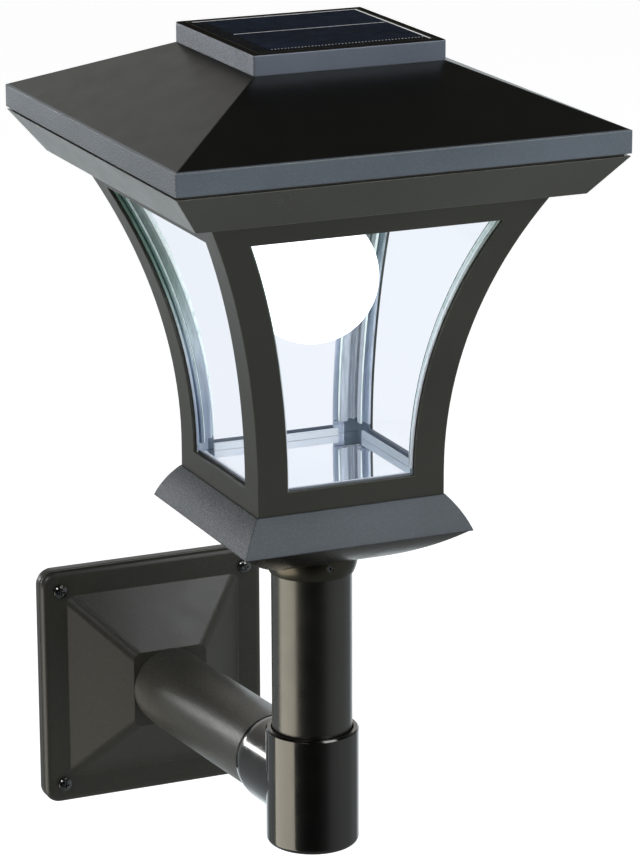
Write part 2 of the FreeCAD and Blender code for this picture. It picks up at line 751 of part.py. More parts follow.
def wall_gasket():
    """Flat rubber ring against the wall, inside the rim's skin."""
    body = new_body("wall_gasket")
    inset = S.plate_wall + S.gap
    half_x = S.plate_width / 2 - inset
    half_y = S.plate_height / 2 - inset
    width = S.wall_gasket_width
    pad(body, rounded_rectangle(half_x, half_y, S.plate_corner_radius - inset), S.wall_gasket_thickness)
    pocket(body, rectangle(half_x - width, half_y - width), S.wall_gasket_thickness + S.overrun,
           S.wall_gasket_thickness + S.overrun / 2)
    return place(body, rotation=FACING_OUT)


def wall_screws():
    """Four pan-head screws: a plain neck in the plate and a thicker shank in the wall."""
    screws = []
    for number, (x, z) in enumerate(wall_screw_spots()):
        neck = pan_screw("wall_screw_neck_%d" % number, S.wall_screw_head_diameter, S.wall_screw_head_height,
                         S.wall_screw_neck_diameter, S.plate_rim_depth, S.screw_recess_width)
        shank = cylinder("wall_screw_shank_%d" % number, S.wall_screw_diameter, S.wall_screw_reach,
                         z=-(S.plate_rim_depth + S.wall_screw_reach))
        screw = fuse("wall_screw_%d" % number, [neck, shank])
        place(screw, x, -S.plate_rim_depth, z, FACING_OUT)
        screws.append(screw)
    return group("wall_screws", screws)


# Line of the arm: it leaves the plate square to the wall, bends upwards and runs into the tee.
PLATE_FACE = S.plate_rim_depth + S.pyramid_depth
ELBOW = PLATE_FACE + S.arm_stub_length
ARM_RUN = S.reach - ELBOW
ARM_SLANT = (ARM_RUN * ARM_RUN + S.arm_rise * S.arm_rise).root()
ARM_COS = ARM_RUN / ARM_SLANT
ARM_SIN = S.arm_rise / ARM_SLANT
ARM_ANGLE = math.degrees(math.atan2(S.arm_rise.value, ARM_RUN.value))


def arm_path(sketch, end):
    """Stub, soft elbow and straight run in the upright plane, ending short of the post's axis."""
    tangent = S.arm_bend_radius * (ARM_SLANT - ARM_RUN) / S.arm_rise
    bend_start = ELBOW - tangent
    bend_end = (ELBOW + tangent * ARM_COS, tangent * ARM_SIN)
    finish = (S.reach - end * ARM_COS, S.arm_rise - end * ARM_SIN)
    start = Vector(-PLATE_FACE.value, 0, 0)
    knee = Vector(-bend_start.value, 0, 0)
    turn = Vector(-bend_end[0].value, bend_end[1].value, 0)
    tip = Vector(-finish[0].value, finish[1].value, 0)
    centre = Vector(-bend_start.value, S.arm_bend_radius.value, 0)
    sketch.addGeometry(Part.LineSegment(start, knee))
    bend, forward = arc_piece(knee, turn, centre, S.arm_bend_radius.value)
    sketch.addGeometry(bend)
    sketch.addGeometry(Part.LineSegment(turn, tip))
    near, far = (1, 2) if forward else (2, 1)
    rules = [("Coincident", 0, 2, 1, near), ("Coincident", 1, far, 2, 1)]
    for rule in rules:
        sketch.addConstraint(Sketcher.Constraint(*rule))
    bound = [(0, 1, "DistanceX", -PLATE_FACE), (0, 2, "DistanceX", -bend_start),
             (1, far, "DistanceX", -bend_end[0]), (1, far, "DistanceY", bend_end[1]),
             (2, 2, "DistanceX", -finish[0]), (2, 2, "DistanceY", finish[1])]
    sketch.addConstraint(Sketcher.Constraint("PointOnObject", 0, 1, -1))
    sketch.addConstraint(Sketcher.Constraint("PointOnObject", 0, 2, -1))
    for index, end_number, kind, size in bound:
        rule = Sketcher.Constraint(kind, -1, 1, index, end_number, size.value)
        sketch.setExpression("Constraints[%d]" % sketch.addConstraint(rule), size.formula)
    rule = Sketcher.Constraint("Radius", 1, S.arm_bend_radius.value)
    sketch.setExpression("Constraints[%d]" % sketch.addConstraint(rule), S.arm_bend_radius.formula)


ARM_END = S.tee_diameter / 2 + S.gap


def arm_tube():
    """Arm swept along its line as one tube."""
    body = new_body("arm_tube")
    path = sketch_in(body, "YZ_Plane")
    arm_path(path, ARM_END)
    ring = sketch_in(body, "XZ_Plane", offset=PLATE_FACE,
                     circles=[(S.arm_diameter,), (S.arm_diameter - S.arm_wall * 2,)])
    doc.recompute()
    made = body.newObject("PartDesign::AdditivePipe", "arm_tube_sweep")
    made.Profile = ring
    made.Spine = path
    path.Visibility = False
    ring.Visibility = False
    return place(body, z=S.arm_level)


def arm_plug():
    """Threaded disc pressed into the arm's end, which takes the bolts from behind the plate."""
    body = new_body("arm_plug")
    pad(body, None, S.arm_plug_length,
        circles=[(S.arm_diameter - S.arm_wall * 2 - S.gap / 3, ZERO, S.arm_level)])
    pocket(body, None, S.arm_plug_length + S.overrun * 2, S.arm_plug_length + S.overrun,
           bolt_spots(S.arm_bolt_diameter + S.gap))
    return place(body, ZERO, -PLATE_FACE, ZERO, FACING_OUT)


def arm_bolts():
    """Three hexagon bolts from inside the pyramid into the plug."""
    bolts = []
    for number, (diameter, x, z) in enumerate(bolt_spots(S.arm_bolt_diameter)):
        shank = cylinder("arm_bolt_shank_%d" % number, diameter, S.arm_bolt_length)
        head = doc.addObject("Part::Prism", "arm_bolt_head_%d" % number)
        head.Polygon = 6
        bind(head, "Circumradius", S.arm_bolt_head_diameter / 2)
        bind(head, "Height", S.arm_bolt_head_height)
        place(head, z=-S.arm_bolt_head_height)
        bolt = fuse("arm_bolt_%d" % number, [shank, head])
        bolts.append(place(bolt, x, -(PLATE_FACE - S.plate_wall), z, FACING_OUT))
    return group("arm_bolts", bolts)


# Where the arm's line meets the post's axis, above the tee's foot
BRANCH_LEVEL = S.arm_level + S.arm_rise - S.skirt_level + S.tee_drop
POST_BORE = S.post_diameter + S.tee_bore_gap * 2
BRANCH_BORE = S.arm_diameter + S.gap


def tee_fitting():
    """Moulded tee: an upright sleeve with a closed foot and a branch that follows the arm."""
    half = S.tee_diameter / 2
    top = S.tee_height
    foot = S.tee_foot_radius
    chamfer = S.tee_rim_chamfer
    upright = revolved("tee_upright", [
        (ZERO, ZERO), (half - foot, ZERO), Arc(half, foot, half - foot, foot, foot),
        (half, top - chamfer), (half - chamfer, top), (ZERO, top)])
    lip = BRANCH_BORE / 2 + S.tee_branch_lip
    nose = S.tee_branch_nose
    rim = S.tee_branch_length
    swell = half - lip
    nose_radius = (nose * nose + swell * swell) / (swell * 2)
    branch = revolved("tee_branch", [
        (ZERO, ZERO), (half, ZERO), (half, rim - nose),
        Arc(lip, rim, half - nose_radius, rim - nose, nose_radius), (ZERO, rim)])
    place(branch, z=BRANCH_LEVEL, rotation=Rotation(X_AXIS, -90 - ARM_ANGLE))
    socket = cylinder("tee_branch_socket", BRANCH_BORE, S.tee_branch_length,
                      y=half * ARM_COS, z=BRANCH_LEVEL - half * ARM_SIN,
                      rotation=Rotation(X_AXIS, -90 - ARM_ANGLE))
    solid = fuse("tee_solid", [upright, branch])
    bore = cylinder("tee_bore", POST_BORE, S.tee_height, z=S.tee_floor)
    post_screw = cylinder("tee_screw_hole", S.grub_diameter + S.gap, S.tee_diameter,
                          z=S.tee_height / 2, rotation=Rotation(Vector(0, 1, 0), 90))
    arm_screw = cylinder("tee_branch_screw_hole", S.grub_diameter + S.gap, S.tee_diameter,
                         y=BRANCH_SCREW_RUN * ARM_COS, z=BRANCH_LEVEL - BRANCH_SCREW_RUN * ARM_SIN,
                         rotation=Rotation(X_AXIS, 180 - ARM_ANGLE))
    holes = fuse("tee_hollows", [bore, socket, post_screw, arm_screw])
    return on_axis(cut("tee_fitting", solid, holes), -S.tee_drop)


# Where the branch's set screw crosses its axis, measured from the post's axis
BRANCH_SCREW_RUN = (S.tee_branch_length + S.tee_diameter / 2) / 2


def tee_set_screws():
    """One set screw against the post and one under the branch against the arm."""
    post_length = (S.tee_diameter - S.post_diameter) / 2 - S.gap
    post_screw = grub_screw("tee_post_screw", post_length)
    place(post_screw, S.post_diameter / 2 + S.gap / 2, AXIS_Y,
          S.skirt_level - S.tee_drop + S.tee_height / 2, Rotation(Vector(0, 1, 0), 90))
    arm_length = (S.tee_diameter - S.arm_diameter) / 2 - S.gap
    arm_screw = grub_screw("tee_arm_screw", arm_length)
    drop = S.arm_diameter / 2 + S.gap / 2
    place(arm_screw, ZERO, AXIS_Y + BRANCH_SCREW_RUN * ARM_COS - drop * ARM_SIN,
          S.arm_level + S.arm_rise - BRANCH_SCREW_RUN * ARM_SIN - drop * ARM_COS,
          Rotation(X_AXIS, 180 - ARM_ANGLE))
    return group("tee_set_screws", [post_screw, arm_screw])


def post_tube():
    """Plain upright tube between the tee's floor and the cup's shoulder."""
    body = new_body("post_tube")
    length = S.tee_drop - S.tee_floor - S.gap - S.post_top_drop
    pad(body, None, length, circles=[(S.post_diameter,), (S.post_diameter - S.post_wall * 2,)])
    return on_axis(body, -(S.post_top_drop + length))


# Lantern base

COLLAR_BORE = S.post_diameter + S.gap * 2


def base_cup():
    """Underside of the lantern: a bulged inverted pyramid that runs into the round collar."""
    neck = -S.cup_drop
    outer = crossed("cup_outer", bulged_outline(S.cup_neck_width / 2, neck, CUP_HALF, ZERO,
                                                S.cup_face_radius), HALF_SPAN)
    wall = S.cup_wall
    inner = crossed("cup_inner", bulged_outline(S.cup_neck_width / 2 - wall, neck + wall,
                                                CUP_HALF - wall * 1.4, ZERO,
                                                S.cup_face_radius - wall), HALF_SPAN)
    bead = S.collar_diameter / 2
    lip = S.collar_lip_diameter / 2
    low = -S.collar_drop
    collar_top = neck + wall * 2
    drop = S.collar_drop - S.cup_drop
    radius = (drop * drop + (bead - lip) * (bead - lip)) / ((bead - lip) * 2)
    sleeve = revolved("collar_sleeve", [
        (ZERO, low), (lip, low), Arc(bead, neck, bead - radius, neck, radius),
        (bead, collar_top), (ZERO, collar_top)])
    shell = cut("cup_shell", outer, inner)
    # The socket keeps the post's end: its wall rises inside the cup to the closed shoulder.
    top = -S.post_top_drop + S.gap
    socket = cylinder("cup_socket", S.collar_diameter - wall, top - neck + wall, z=neck)
    spots = base_screw_spots()
    feet = [common("cup_boss_foot_%d" % number,
                   cylinder("cup_boss_blank_%d" % number, S.base_boss_diameter, S.cup_drop,
                            x, y, -S.cup_drop), outer) for number, (x, y) in enumerate(spots)]
    boss_top = S.base_level - S.skirt_wall - S.gap / 3
    bosses = feet + [cylinder("cup_boss_%d" % number, S.base_boss_diameter, boss_top + wall, x, y, -wall)
                     for number, (x, y) in enumerate(spots)]
    solid = fuse("cup_solid", [shell, sleeve, socket] + bosses)
    bore = cylinder("collar_bore", COLLAR_BORE, S.collar_drop - S.post_top_drop + S.gap + S.overrun,
                    z=low - S.overrun)
    screw_holes = [cylinder("collar_screw_hole_%d" % number, S.grub_diameter * 0.8, S.collar_diameter,
                            z=-S.collar_screw_drop, rotation=Rotation(Z_AXIS, turn).multiply(
                                Rotation(Vector(0, 1, 0), 90)))
                   for number, turn in enumerate(COLLAR_SCREW_TURNS)]
    pilot = [cylinder("cup_pilot_%d" % number, S.base_screw_diameter + S.gap,
                      S.base_screw_bite + S.base_level + S.overrun, x, y, -(S.base_screw_bite + S.gap))
             for number, (x, y) in enumerate(spots)]
    return on_axis(cut("base_cup", solid, fuse("cup_hollows", [bore] + screw_holes + pilot)))


COLLAR_SCREW_TURNS = (-90, 30, 150)


def collar_set_screws():
    """Three set screws sunk in the collar, which hold the lantern on the post."""
    screws = []
    length = (S.collar_diameter - S.post_diameter) / 2 - S.gap * 2
    start = S.post_diameter / 2 + S.gap / 2
    for number, turn in enumerate(COLLAR_SCREW_TURNS):
        blank = cylinder("collar_screw_blank_%d" % number, S.grub_diameter * 0.8 - S.gap, length)
        socket = cylinder("collar_screw_socket_%d" % number, S.grub_socket_diameter * 0.8,
                          length / 2 + S.overrun, z=length / 2)
        screw = cut("collar_screw_%d" % number, blank, socket)
        angle = math.radians(turn)
        place(screw, start * math.cos(angle), AXIS_Y + start * math.sin(angle),
              S.skirt_level - S.collar_screw_drop,
              Rotation(Z_AXIS, turn).multiply(Rotation(Vector(0, 1, 0), 90)))
        screws.append(screw)
    return group("collar_set_screws", screws)


def base_screw_spots():
    """Four places under the body's foot flange."""
    reach = S.body_width / 2 - S.body_wall - S.body_flange_width * S.base_screw_share
    return [(reach * x, reach * y) for x in (-1, 1) for y in (-1, 1)]


def skirt():
    """Textured moulding between body and cup: bulged sides, open below, a ledge on top."""
    wall = S.skirt_wall
    outer = crossed("skirt_outer", bulged_outline(SKIRT_HALF, ZERO, SKIRT_TOP_HALF,
                                                  S.base_level, S.skirt_face_radius), HALF_SPAN)
    inner = crossed("skirt_inner", bulged_outline(
        SKIRT_HALF - wall * 0.4, -S.overrun / 5, SKIRT_TOP_HALF - wall,
        S.base_level - wall, S.skirt_face_radius - wall), HALF_SPAN)
    opening_half = S.body_width / 2 - S.body_wall - S.body_flange_width
    opening = box("skirt_opening", opening_half, opening_half, ZERO, S.base_level + S.overrun)
    holes = [cylinder("skirt_hole_%d" % number, S.base_screw_diameter + S.gap, S.base_level + S.overrun,
                      x, y, ZERO) for number, (x, y) in enumerate(base_screw_spots())]
    return on_axis(cut("skirt", outer, fuse("skirt_hollow", [inner, opening] + holes)))


def base_screws():
    """Four screws down through the foot flange and skirt into the cup's bosses."""
    screws = []
    seat = S.base_level + S.body_flange_thickness
    for number, (x, y) in enumerate(base_screw_spots()):
        screw = pan_screw("base_screw_%d" % number, S.base_screw_head_diameter, S.base_screw_head_height,
                          S.base_screw_diameter, seat + S.base_screw_bite)
        place(screw, x, AXIS_Y + y, S.skirt_level + seat)
        screws.append(screw)
    return group("base_screws", screws)


# Body with its bent panes

# Depths are measured inwards from the body's face: frame, corner retainer, glass, channel lip.
BODY_TOP = S.soffit_level - S.head_lift_gap
RETAINER_FACE = S.body_wall + S.gap
RETAINER_BACK = RETAINER_FACE + S.retainer_thickness
GLASS_FACE = RETAINER_BACK + S.gap
GLASS_BACK = GLASS_FACE + S.pane_thickness
LIP_FACE = GLASS_BACK + S.gap
LIP_BACK = LIP_FACE + S.retainer_thickness
FLOOR_LEVEL = S.reflector_level + S.gap / 3
CLIP_TOP = S.reflector_level + S.clip_height
RETAINER_EDGE = S.corner_post_width + S.retainer_sight


def body_frame():
    """Four-sided flared frame with a window in each face and a flange round its foot."""
    outer = crossed("frame_outer", flare_outline(ZERO, ZERO, S.base_level, BODY_TOP), HALF_SPAN)
    inner = crossed("frame_inner", flare_outline(ZERO, S.body_wall, S.base_level + S.body_flange_thickness,
                                                 BODY_TOP + S.overrun), HALF_SPAN)
    windows = [window("frame_window_%d" % number, S.corner_post_width, S.sill_level, S.window_top_level,
                      bool(number)) for number in (0, 1)]
    flange_half = S.body_width / 2 - S.body_wall - S.body_flange_width
    mouth = box("frame_mouth", flange_half, flange_half, ZERO, S.sill_level)
    holes = [cylinder("frame_hole_%d" % number, S.base_screw_diameter + S.gap, S.sill_level, x, y, ZERO)
             for number, (x, y) in enumerate(base_screw_spots())]
    frame = cut("body_frame", outer, fuse("frame_hollows", [inner, mouth] + windows + holes))
    return on_axis(frame)


def window(name, post_width, z_low, z_high, along_y):
    """The prism that cuts two opposite windows, with its long edges rounded."""
    return prism(name, flare_outline(post_width, ZERO, z_low, z_high), HALF_SPAN, along_y)


def pane_blank():
    """One bent pane, drawn once for the front and turned into place for each face."""
    z_low = S.reflector_level + S.gap
    z_high = S.window_top_level + S.pane_end_overlap
    sheet_outer = prism("pane_outer", flare_outline(ZERO, GLASS_FACE, z_low, z_high), HALF_SPAN, False)
    sheet_inner = prism("pane_inner", flare_outline(ZERO, GLASS_BACK, z_low - S.overrun,
                                                    z_high + S.overrun), HALF_SPAN, False)
    bent = cut("pane_sheet", sheet_outer, sheet_inner)
    sides = prism("pane_sides", flare_outline(S.corner_post_width - S.pane_overlap, ZERO, z_low, z_high),
                  HALF_SPAN, True)
    trimmed = common("pane_pair", bent, sides)
    front_half = box("pane_front_half", HALF_SPAN, HALF_SPAN / 2, ZERO, S.soffit_level, ZERO, -HALF_SPAN / 2)
    return common("pane_blank", trimmed, front_half)


def turned_copy(name, source, turn):
    """A copy of a piece drawn about the lantern's axis, turned about it."""
    made = doc.addObject("Part::Compound", name)
    made.Links = [source]
    return on_axis(made, rotation=Rotation(Z_AXIS, turn))


def panes():
    blank = pane_blank()
    names = ("front_pane", "right_pane", "rear_pane", "left_pane")
    return [turned_copy(name, blank, turn) for name, turn in zip(names, QUARTER_TURNS)]


def retainer_layer(name, depth_face, depth_back):
    """A four-sided skin that follows the flare between two depths."""
    z_low = S.sill_level
    z_high = S.window_top_level + S.pane_end_overlap
    return cut(name, crossed(name + "_outer", flare_outline(ZERO, depth_face, z_low, z_high), HALF_SPAN),
               crossed(name + "_inner", flare_outline(ZERO, depth_back, z_low - S.overrun,
                                                      z_high + S.overrun), HALF_SPAN))


def retainer_strip(name, layer, start, end, along_y):
    """The part of a layer between two distances from the body's sides."""
    z_low = S.sill_level
    z_high = S.window_top_level + S.pane_end_overlap
    wide = prism(name + "_wide", flare_outline(start, ZERO, z_low, z_high), HALF_SPAN, along_y)
    narrow = prism(name + "_narrow", flare_outline(end, ZERO, z_low - S.overrun, z_high + S.overrun),
                   HALF_SPAN, along_y)
    return common(name, layer, cut(name + "_slab", wide, narrow))


def retainer_blank():
    """One silver corner retainer: an angle behind the frame with a channel for each glass edge."""
    skin = retainer_layer("retainer_skin", RETAINER_FACE, RETAINER_BACK)
    web = retainer_layer("retainer_web", RETAINER_FACE, LIP_BACK)
    lip = retainer_layer("retainer_lip", LIP_FACE, LIP_BACK)
    rib = retainer_layer("retainer_rib", RETAINER_FACE, RETAINER_BACK + S.retainer_rib_height)
    glass_edge = S.corner_post_width - S.pane_overlap - S.gap
    channel = glass_edge - S.retainer_rib
    offset = S.retainer_rib_offset
    strips = []
    for number, along_y in enumerate((True, False)):
        strips.append(retainer_strip("retainer_web_%d" % number, web, channel, glass_edge, along_y))
        strips.append(retainer_strip("retainer_lip_%d" % number, lip, channel,
                                     glass_edge + S.retainer_lip, along_y))
        strips.append(retainer_strip("retainer_rib_%d" % number, rib, offset, offset + S.retainer_rib,
                                     along_y))
    whole = fuse("retainer_ring", [skin] + strips)
    openings = [prism("retainer_opening_%d" % number,
                      flare_outline(RETAINER_EDGE, ZERO, S.sill_level - S.overrun, S.soffit_level),
                      HALF_SPAN, bool(number)) for number in (0, 1)]
    corners = cut("retainer_corners", whole, fuse("retainer_openings", openings))
    quadrant = box("retainer_quadrant", HALF_SPAN / 2, HALF_SPAN / 2, CLIP_TOP + S.gap, S.soffit_level,
                   -HALF_SPAN / 2, -HALF_SPAN / 2)
    return common("retainer_blank", corners, quadrant)


def corner_retainers():
    blank = retainer_blank()
    names = ("front_left_retainer", "front_right_retainer", "rear_right_retainer", "rear_left_retainer")
    return [turned_copy(name, blank, turn) for name, turn in zip(names, QUARTER_TURNS)]


def corner_clips():
    """Four dark angles on the mirror floor that carry the retainers."""
    outer = S.body_width / 2 - RETAINER_FACE
    half = S.retainer_thickness / 2
    middle = half - outer
    leg = S.clip_leg / 2
    long_leg = (outer - S.body_width / 2 + RETAINER_EDGE) / 2
    blank = fuse("clip_blank", [
        box("clip_short_leg", leg, half, FLOOR_LEVEL, CLIP_TOP, leg - outer, middle),
        box("clip_long_leg", half, long_leg, FLOOR_LEVEL, CLIP_TOP, middle, long_leg - outer)])
    return group("corner_clips", [turned_copy("corner_clip_%d" % turn, blank, turn)
                                  for turn in QUARTER_TURNS])


def strips_round(name, z_low, z_high, face, thickness, half_length):
    """Four straight strips on the mirror floor, one along each side."""
    half = thickness / 2
    blank = box(name + "_blank", half_length, half, z_low, z_high, ZERO, half - face)
    return group(name, [turned_copy(name + "_%d" % turn, blank, turn) for turn in QUARTER_TURNS])


def pane_seals():
    """Rubber strips between frame and glass, which show as a dark line at the windows' foot."""
    half_length = S.body_width / 2 - RETAINER_EDGE - S.gap
    return strips_round("pane_seals", FLOOR_LEVEL, S.sill_level + S.seal_stand_out,
                        S.body_width / 2 - RETAINER_FACE, S.retainer_thickness, half_length)


def window_sill():
    """Silver strips that keep the lower glass edges, seen behind the windows' lower edges."""
    return strips_round("window_sill", FLOOR_LEVEL, S.reflector_level + S.sill_height,
                        S.body_width / 2 - LIP_FACE, S.sill_thickness, S.body_width / 2 - S.corner_post_width)


def floor_reflector():
    """Folded mirror floor standing on the foot flange on its turned-down edges."""
    body = new_body("floor_reflector")
    half = S.body_width / 2 - RETAINER_FACE - S.gap
    low = S.base_level + S.body_flange_thickness
    thickness = S.reflector_thickness
    pad(body, rectangle(half, half), S.reflector_level - low, low)
    hollow_out(body, rectangle(half - thickness, half - thickness), S.reflector_level - low - thickness,
               "fold", offset=low)
    return on_axis(body)


# Head

TRAY_FLOOR = S.soffit_level + S.tray_wall
FASCIA_TOP = S.fascia_level + S.fascia_height
ROOF_TOP = FASCIA_TOP + S.roof_rise


def tray_screw_spots():
    reach = RIB_HALF - S.tray_screw_set_in
    return [(reach * x, reach * y) for x in (-1, 1) for y in (-1, 1)]


def roof_cover():
    """Hipped roof with an upright fascia, open below, with screw pillars."""
    body = new_body("roof_shell")
    half = S.roof_width / 2
    top_half = S.panel_frame_width / 2
    wall = S.roof_wall
    pad(body, rectangle(half, half), S.fascia_height, S.fascia_level, name="fascia")
    frustum(body, "AdditiveLoft", half, FASCIA_TOP, top_half, ROOF_TOP, "hips")
    low, high = S.fascia_level.value, ROOF_TOP.value
    round_edges(body, S.roof_edge_radius,
                lambda item: middle_of(item).z > low + 1 and not is_level(item, high)
                and abs(abs(middle_of(item).x) - abs(middle_of(item).y)) < 1e-3)
    slope = (half - top_half) / S.roof_rise
    side_wall = wall * (slope * slope + 1).root() / slope
    inner_half = half - wall
    inner_rise = (inner_half - top_half) / slope
    inner_eave = FASCIA_TOP + (half - inner_half) / slope - side_wall
    hollow_out(body, rectangle(inner_half, inner_half), inner_eave - S.fascia_level, "eave_hollow",
               offset=S.fascia_level)
    inner_top = ROOF_TOP - wall
    inner_top_half = inner_half - (inner_top - inner_eave) * slope
    frustum(body, "SubtractiveLoft", inner_half, inner_eave, inner_top_half, inner_top, "hollow")
    pillars = []
    for number, (x, y) in enumerate(tray_screw_spots()):
        pillars.append(cylinder("roof_pillar_%d" % number, S.roof_pillar_diameter,
                                ROOF_TOP - TRAY_FLOOR - S.gap, x, y, TRAY_FLOOR + S.gap))
    envelope = roof_envelope(half, top_half)
    trimmed = common("roof_pillars", group("roof_pillar_set", pillars), envelope)
    pilots = [cylinder("roof_pilot_%d" % number, S.tray_screw_diameter + S.gap, S.tray_screw_length,
                       x, y, TRAY_FLOOR) for number, (x, y) in enumerate(tray_screw_spots())]
    wire_hole = cylinder("roof_wire_hole", S.wire_hole_diameter, S.overrun * 2, z=ROOF_TOP - S.overrun,
                         y=WIRE_ENTRY)
    solid = fuse("roof_solid", [body, trimmed])
    return on_axis(cut("roof_cover", solid, fuse("roof_holes", pilots + [wire_hole])))


WIRE_ENTRY = S.panel_frame_width / 4


def roof_envelope(half, top_half):
    """The roof's outside, used to trim the pillars, reaching down to the tray."""
    made = doc.addObject("Part::Wedge", "roof_envelope_top")
    for prop, size in (("Xmin", -half), ("Xmax", half), ("Zmin", -half), ("Zmax", half),
                       ("Ymin", FASCIA_TOP), ("Ymax", ROOF_TOP - S.roof_wall / 2),
                       ("X2min", -top_half), ("X2max", top_half),
                       ("Z2min", -top_half), ("Z2max", top_half)):
        bind(made, prop, size)
    made.Placement = Placement(Vector(), FACING_OUT)
    lower = box("roof_envelope_foot", half, half, TRAY_FLOOR, FASCIA_TOP)
    return fuse("roof_envelope", [made, lower])


def soffit_tray():
    """Tapered tray under the roof that carries bulb, battery, switch and control board."""
    body = new_body("tray_shell")
    top_half = TRAY_TOP_HALF
    low_half = TRAY_LOW_HALF
    wall = S.tray_wall
    frustum(body, "AdditiveLoft", low_half, S.soffit_level, top_half, S.tray_top_level, "taper")
    # The lip inside the fascia rises from the tray's upper edge.
    lip_half = S.roof_width / 2 - S.roof_wall - S.tray_lip_gap
    pad(body, rectangle(lip_half, lip_half), S.tray_lip_height, S.tray_top_level, name="lip")
    slope = (top_half - low_half) / (S.tray_top_level - S.soffit_level)
    side = wall * (slope * slope + 1).root()
    inner_low = low_half + slope * wall - side
    inner_half = lip_half - S.tray_lip_wall
    inner_mid = TRAY_FLOOR + (inner_half - inner_low) / slope
    frustum(body, "SubtractiveLoft", inner_low, TRAY_FLOOR, inner_half, inner_mid, "hollow")
    pocket(body, rectangle(inner_half, inner_half),
           S.tray_top_level + S.tray_lip_height - inner_mid + S.overrun,
           S.tray_top_level + S.tray_lip_height + S.overrun, name="mouth")
    rib = rib_ring()
    posts = [cylinder("board_post_%d" % number, S.board_post_diameter, S.board_post_height + S.tray_wall / 2,
                      x, y, TRAY_FLOOR - S.tray_wall / 2) for number, (x, y) in enumerate(board_spots())]
    solid = fuse("tray_solid", [body, rib, battery_well()] + posts)
    holes = [cylinder("tray_screw_hole_%d" % number, S.tray_screw_diameter + S.gap, S.overrun * 2,
                      x, y, S.soffit_level - S.overrun) for number, (x, y) in enumerate(tray_screw_spots())]
    holes.append(box("hatch_opening", WELL_HALF_X, WELL_HALF_Y, S.soffit_level - S.overrun,
                     TRAY_FLOOR + S.overrun, CELL_OFFSET))
    holes.append(cylinder("holder_hole", S.holder_diameter + S.gap, S.overrun * 2,
                          z=S.soffit_level - S.overrun))
    holes.append(cylinder("switch_hole", S.switch_nose_diameter + S.gap, S.overrun * 2, -S.switch_offset,
                          z=S.soffit_level - S.overrun))
    holes += [cylinder("board_pilot_%d" % number, S.board_screw_diameter, S.board_post_height + S.overrun,
                       x, y, TRAY_FLOOR + S.gap) for number, (x, y) in enumerate(board_spots())]
    holes += [cylinder("hatch_pilot_%d" % number, S.hatch_screw_diameter, S.hatch_screw_length + S.overrun,
                       x, y, S.soffit_level - S.overrun) for number, (x, y) in enumerate(hatch_spots())]
    return on_axis(cut("soffit_tray", solid, fuse("tray_holes", holes)))


def rib_ring():
    """Square rib under the tray that drops inside the body's upper rim."""
    half = RIB_HALF
    low = S.soffit_level - S.tray_rib_height
    outer = box("rib_outer", half, half, low, S.soffit_level + S.tray_wall / 2)
    inner = box("rib_inner", half - S.tray_rib_wall, half - S.tray_rib_wall, low - S.overrun,
                S.soffit_level)
    return cut("rib_ring", outer, inner)


# Battery well over the hatch, beside the lamp holder
WELL_HALF_X = S.hatch_width / 2
WELL_HALF_Y = S.hatch_length / 2


def battery_well():
    """Open-bottomed walls round the cell."""
    wall = S.well_wall
    outer = box("well_outer", WELL_HALF_X + wall, WELL_HALF_Y + wall, TRAY_FLOOR - S.tray_wall / 2,
                TRAY_FLOOR + S.well_height, CELL_OFFSET)
    inner = box("well_inner", WELL_HALF_X, WELL_HALF_Y, S.soffit_level - S.overrun,
                TRAY_FLOOR + S.well_height + S.overrun, CELL_OFFSET)
    ears = [cylinder("hatch_ear_%d" % number, S.hatch_ear, S.hatch_screw_length + S.tray_wall / 2,
                     x, y, TRAY_FLOOR - S.tray_wall / 2) for number, (x, y) in enumerate(hatch_spots())]
    return cut("battery_well", fuse("well_blank", [outer] + ears), inner)


def hatch_spots():
    reach = WELL_HALF_Y + S.hatch_ear / 2
    return [(CELL_OFFSET, -reach), (CELL_OFFSET, reach)]


def tray_screws():
    """Four screws up through the tray into the roof's pillars."""
    screws = []
    for number, (x, y) in enumerate(tray_screw_spots()):
        screw = pan_screw("tray_screw_%d" % number, S.tray_screw_head_diameter, S.tray_screw_head_height,
                          S.tray_screw_diameter, S.tray_screw_length, S.screw_recess_width)
        place(screw, x, AXIS_Y + y, S.skirt_level + S.soffit_level, Rotation(X_AXIS, 180))
        screws.append(screw)
    return group("tray_screws", screws)


def panel_frame():
    """Raised square frame on the roof's flat top."""
    body = new_body("panel_frame")
    half = S.panel_frame_width / 2
    inner = half - S.panel_frame_wall
    height = S.panel_frame_height
    pad(body, rectangle(half, half), height, ROOF_TOP)
    pocket(body, rectangle(inner, inner), height + S.overrun * 2, ROOF_TOP + height + S.overrun)
    top = (ROOF_TOP + height).value
    edge = half.value
    round_edges(body, S.roof_edge_radius,
                lambda item: (is_level(item, top) and max(abs(middle_of(item).x), abs(middle_of(item).y))
                              > edge - 1e-3)
                or (direction_of(item) is not None and abs(direction_of(item).z) > 0.9
                    and abs(middle_of(item).x) > edge - 1e-3))
    return on_axis(body)


def panel_seal():
    """Foam ring that carries the solar panel on the roof."""
    body = new_body("panel_seal")
    half = S.panel_frame_width / 2 - S.panel_frame_wall - S.gap
    height = S.panel_frame_height - S.panel_recess - S.panel_thickness - S.gap
    pad(body, rectangle(half, half), height, ROOF_TOP)
    pocket(body, rectangle(half - S.panel_seal_width, half - S.panel_seal_width), height + S.overrun * 2,
           ROOF_TOP + height + S.overrun)
    return on_axis(body)


def solar_panel():
    """Glazed panel of cells, sunk a little below the frame's rim."""
    body = new_body("solar_panel")
    half = S.panel_frame_width / 2 - S.panel_frame_wall - S.panel_gap
    top = ROOF_TOP + S.panel_frame_height - S.panel_recess
    pad(body, rectangle(half, half), S.panel_thickness, top - S.panel_thickness)
    return on_axis(body)


# Bulb

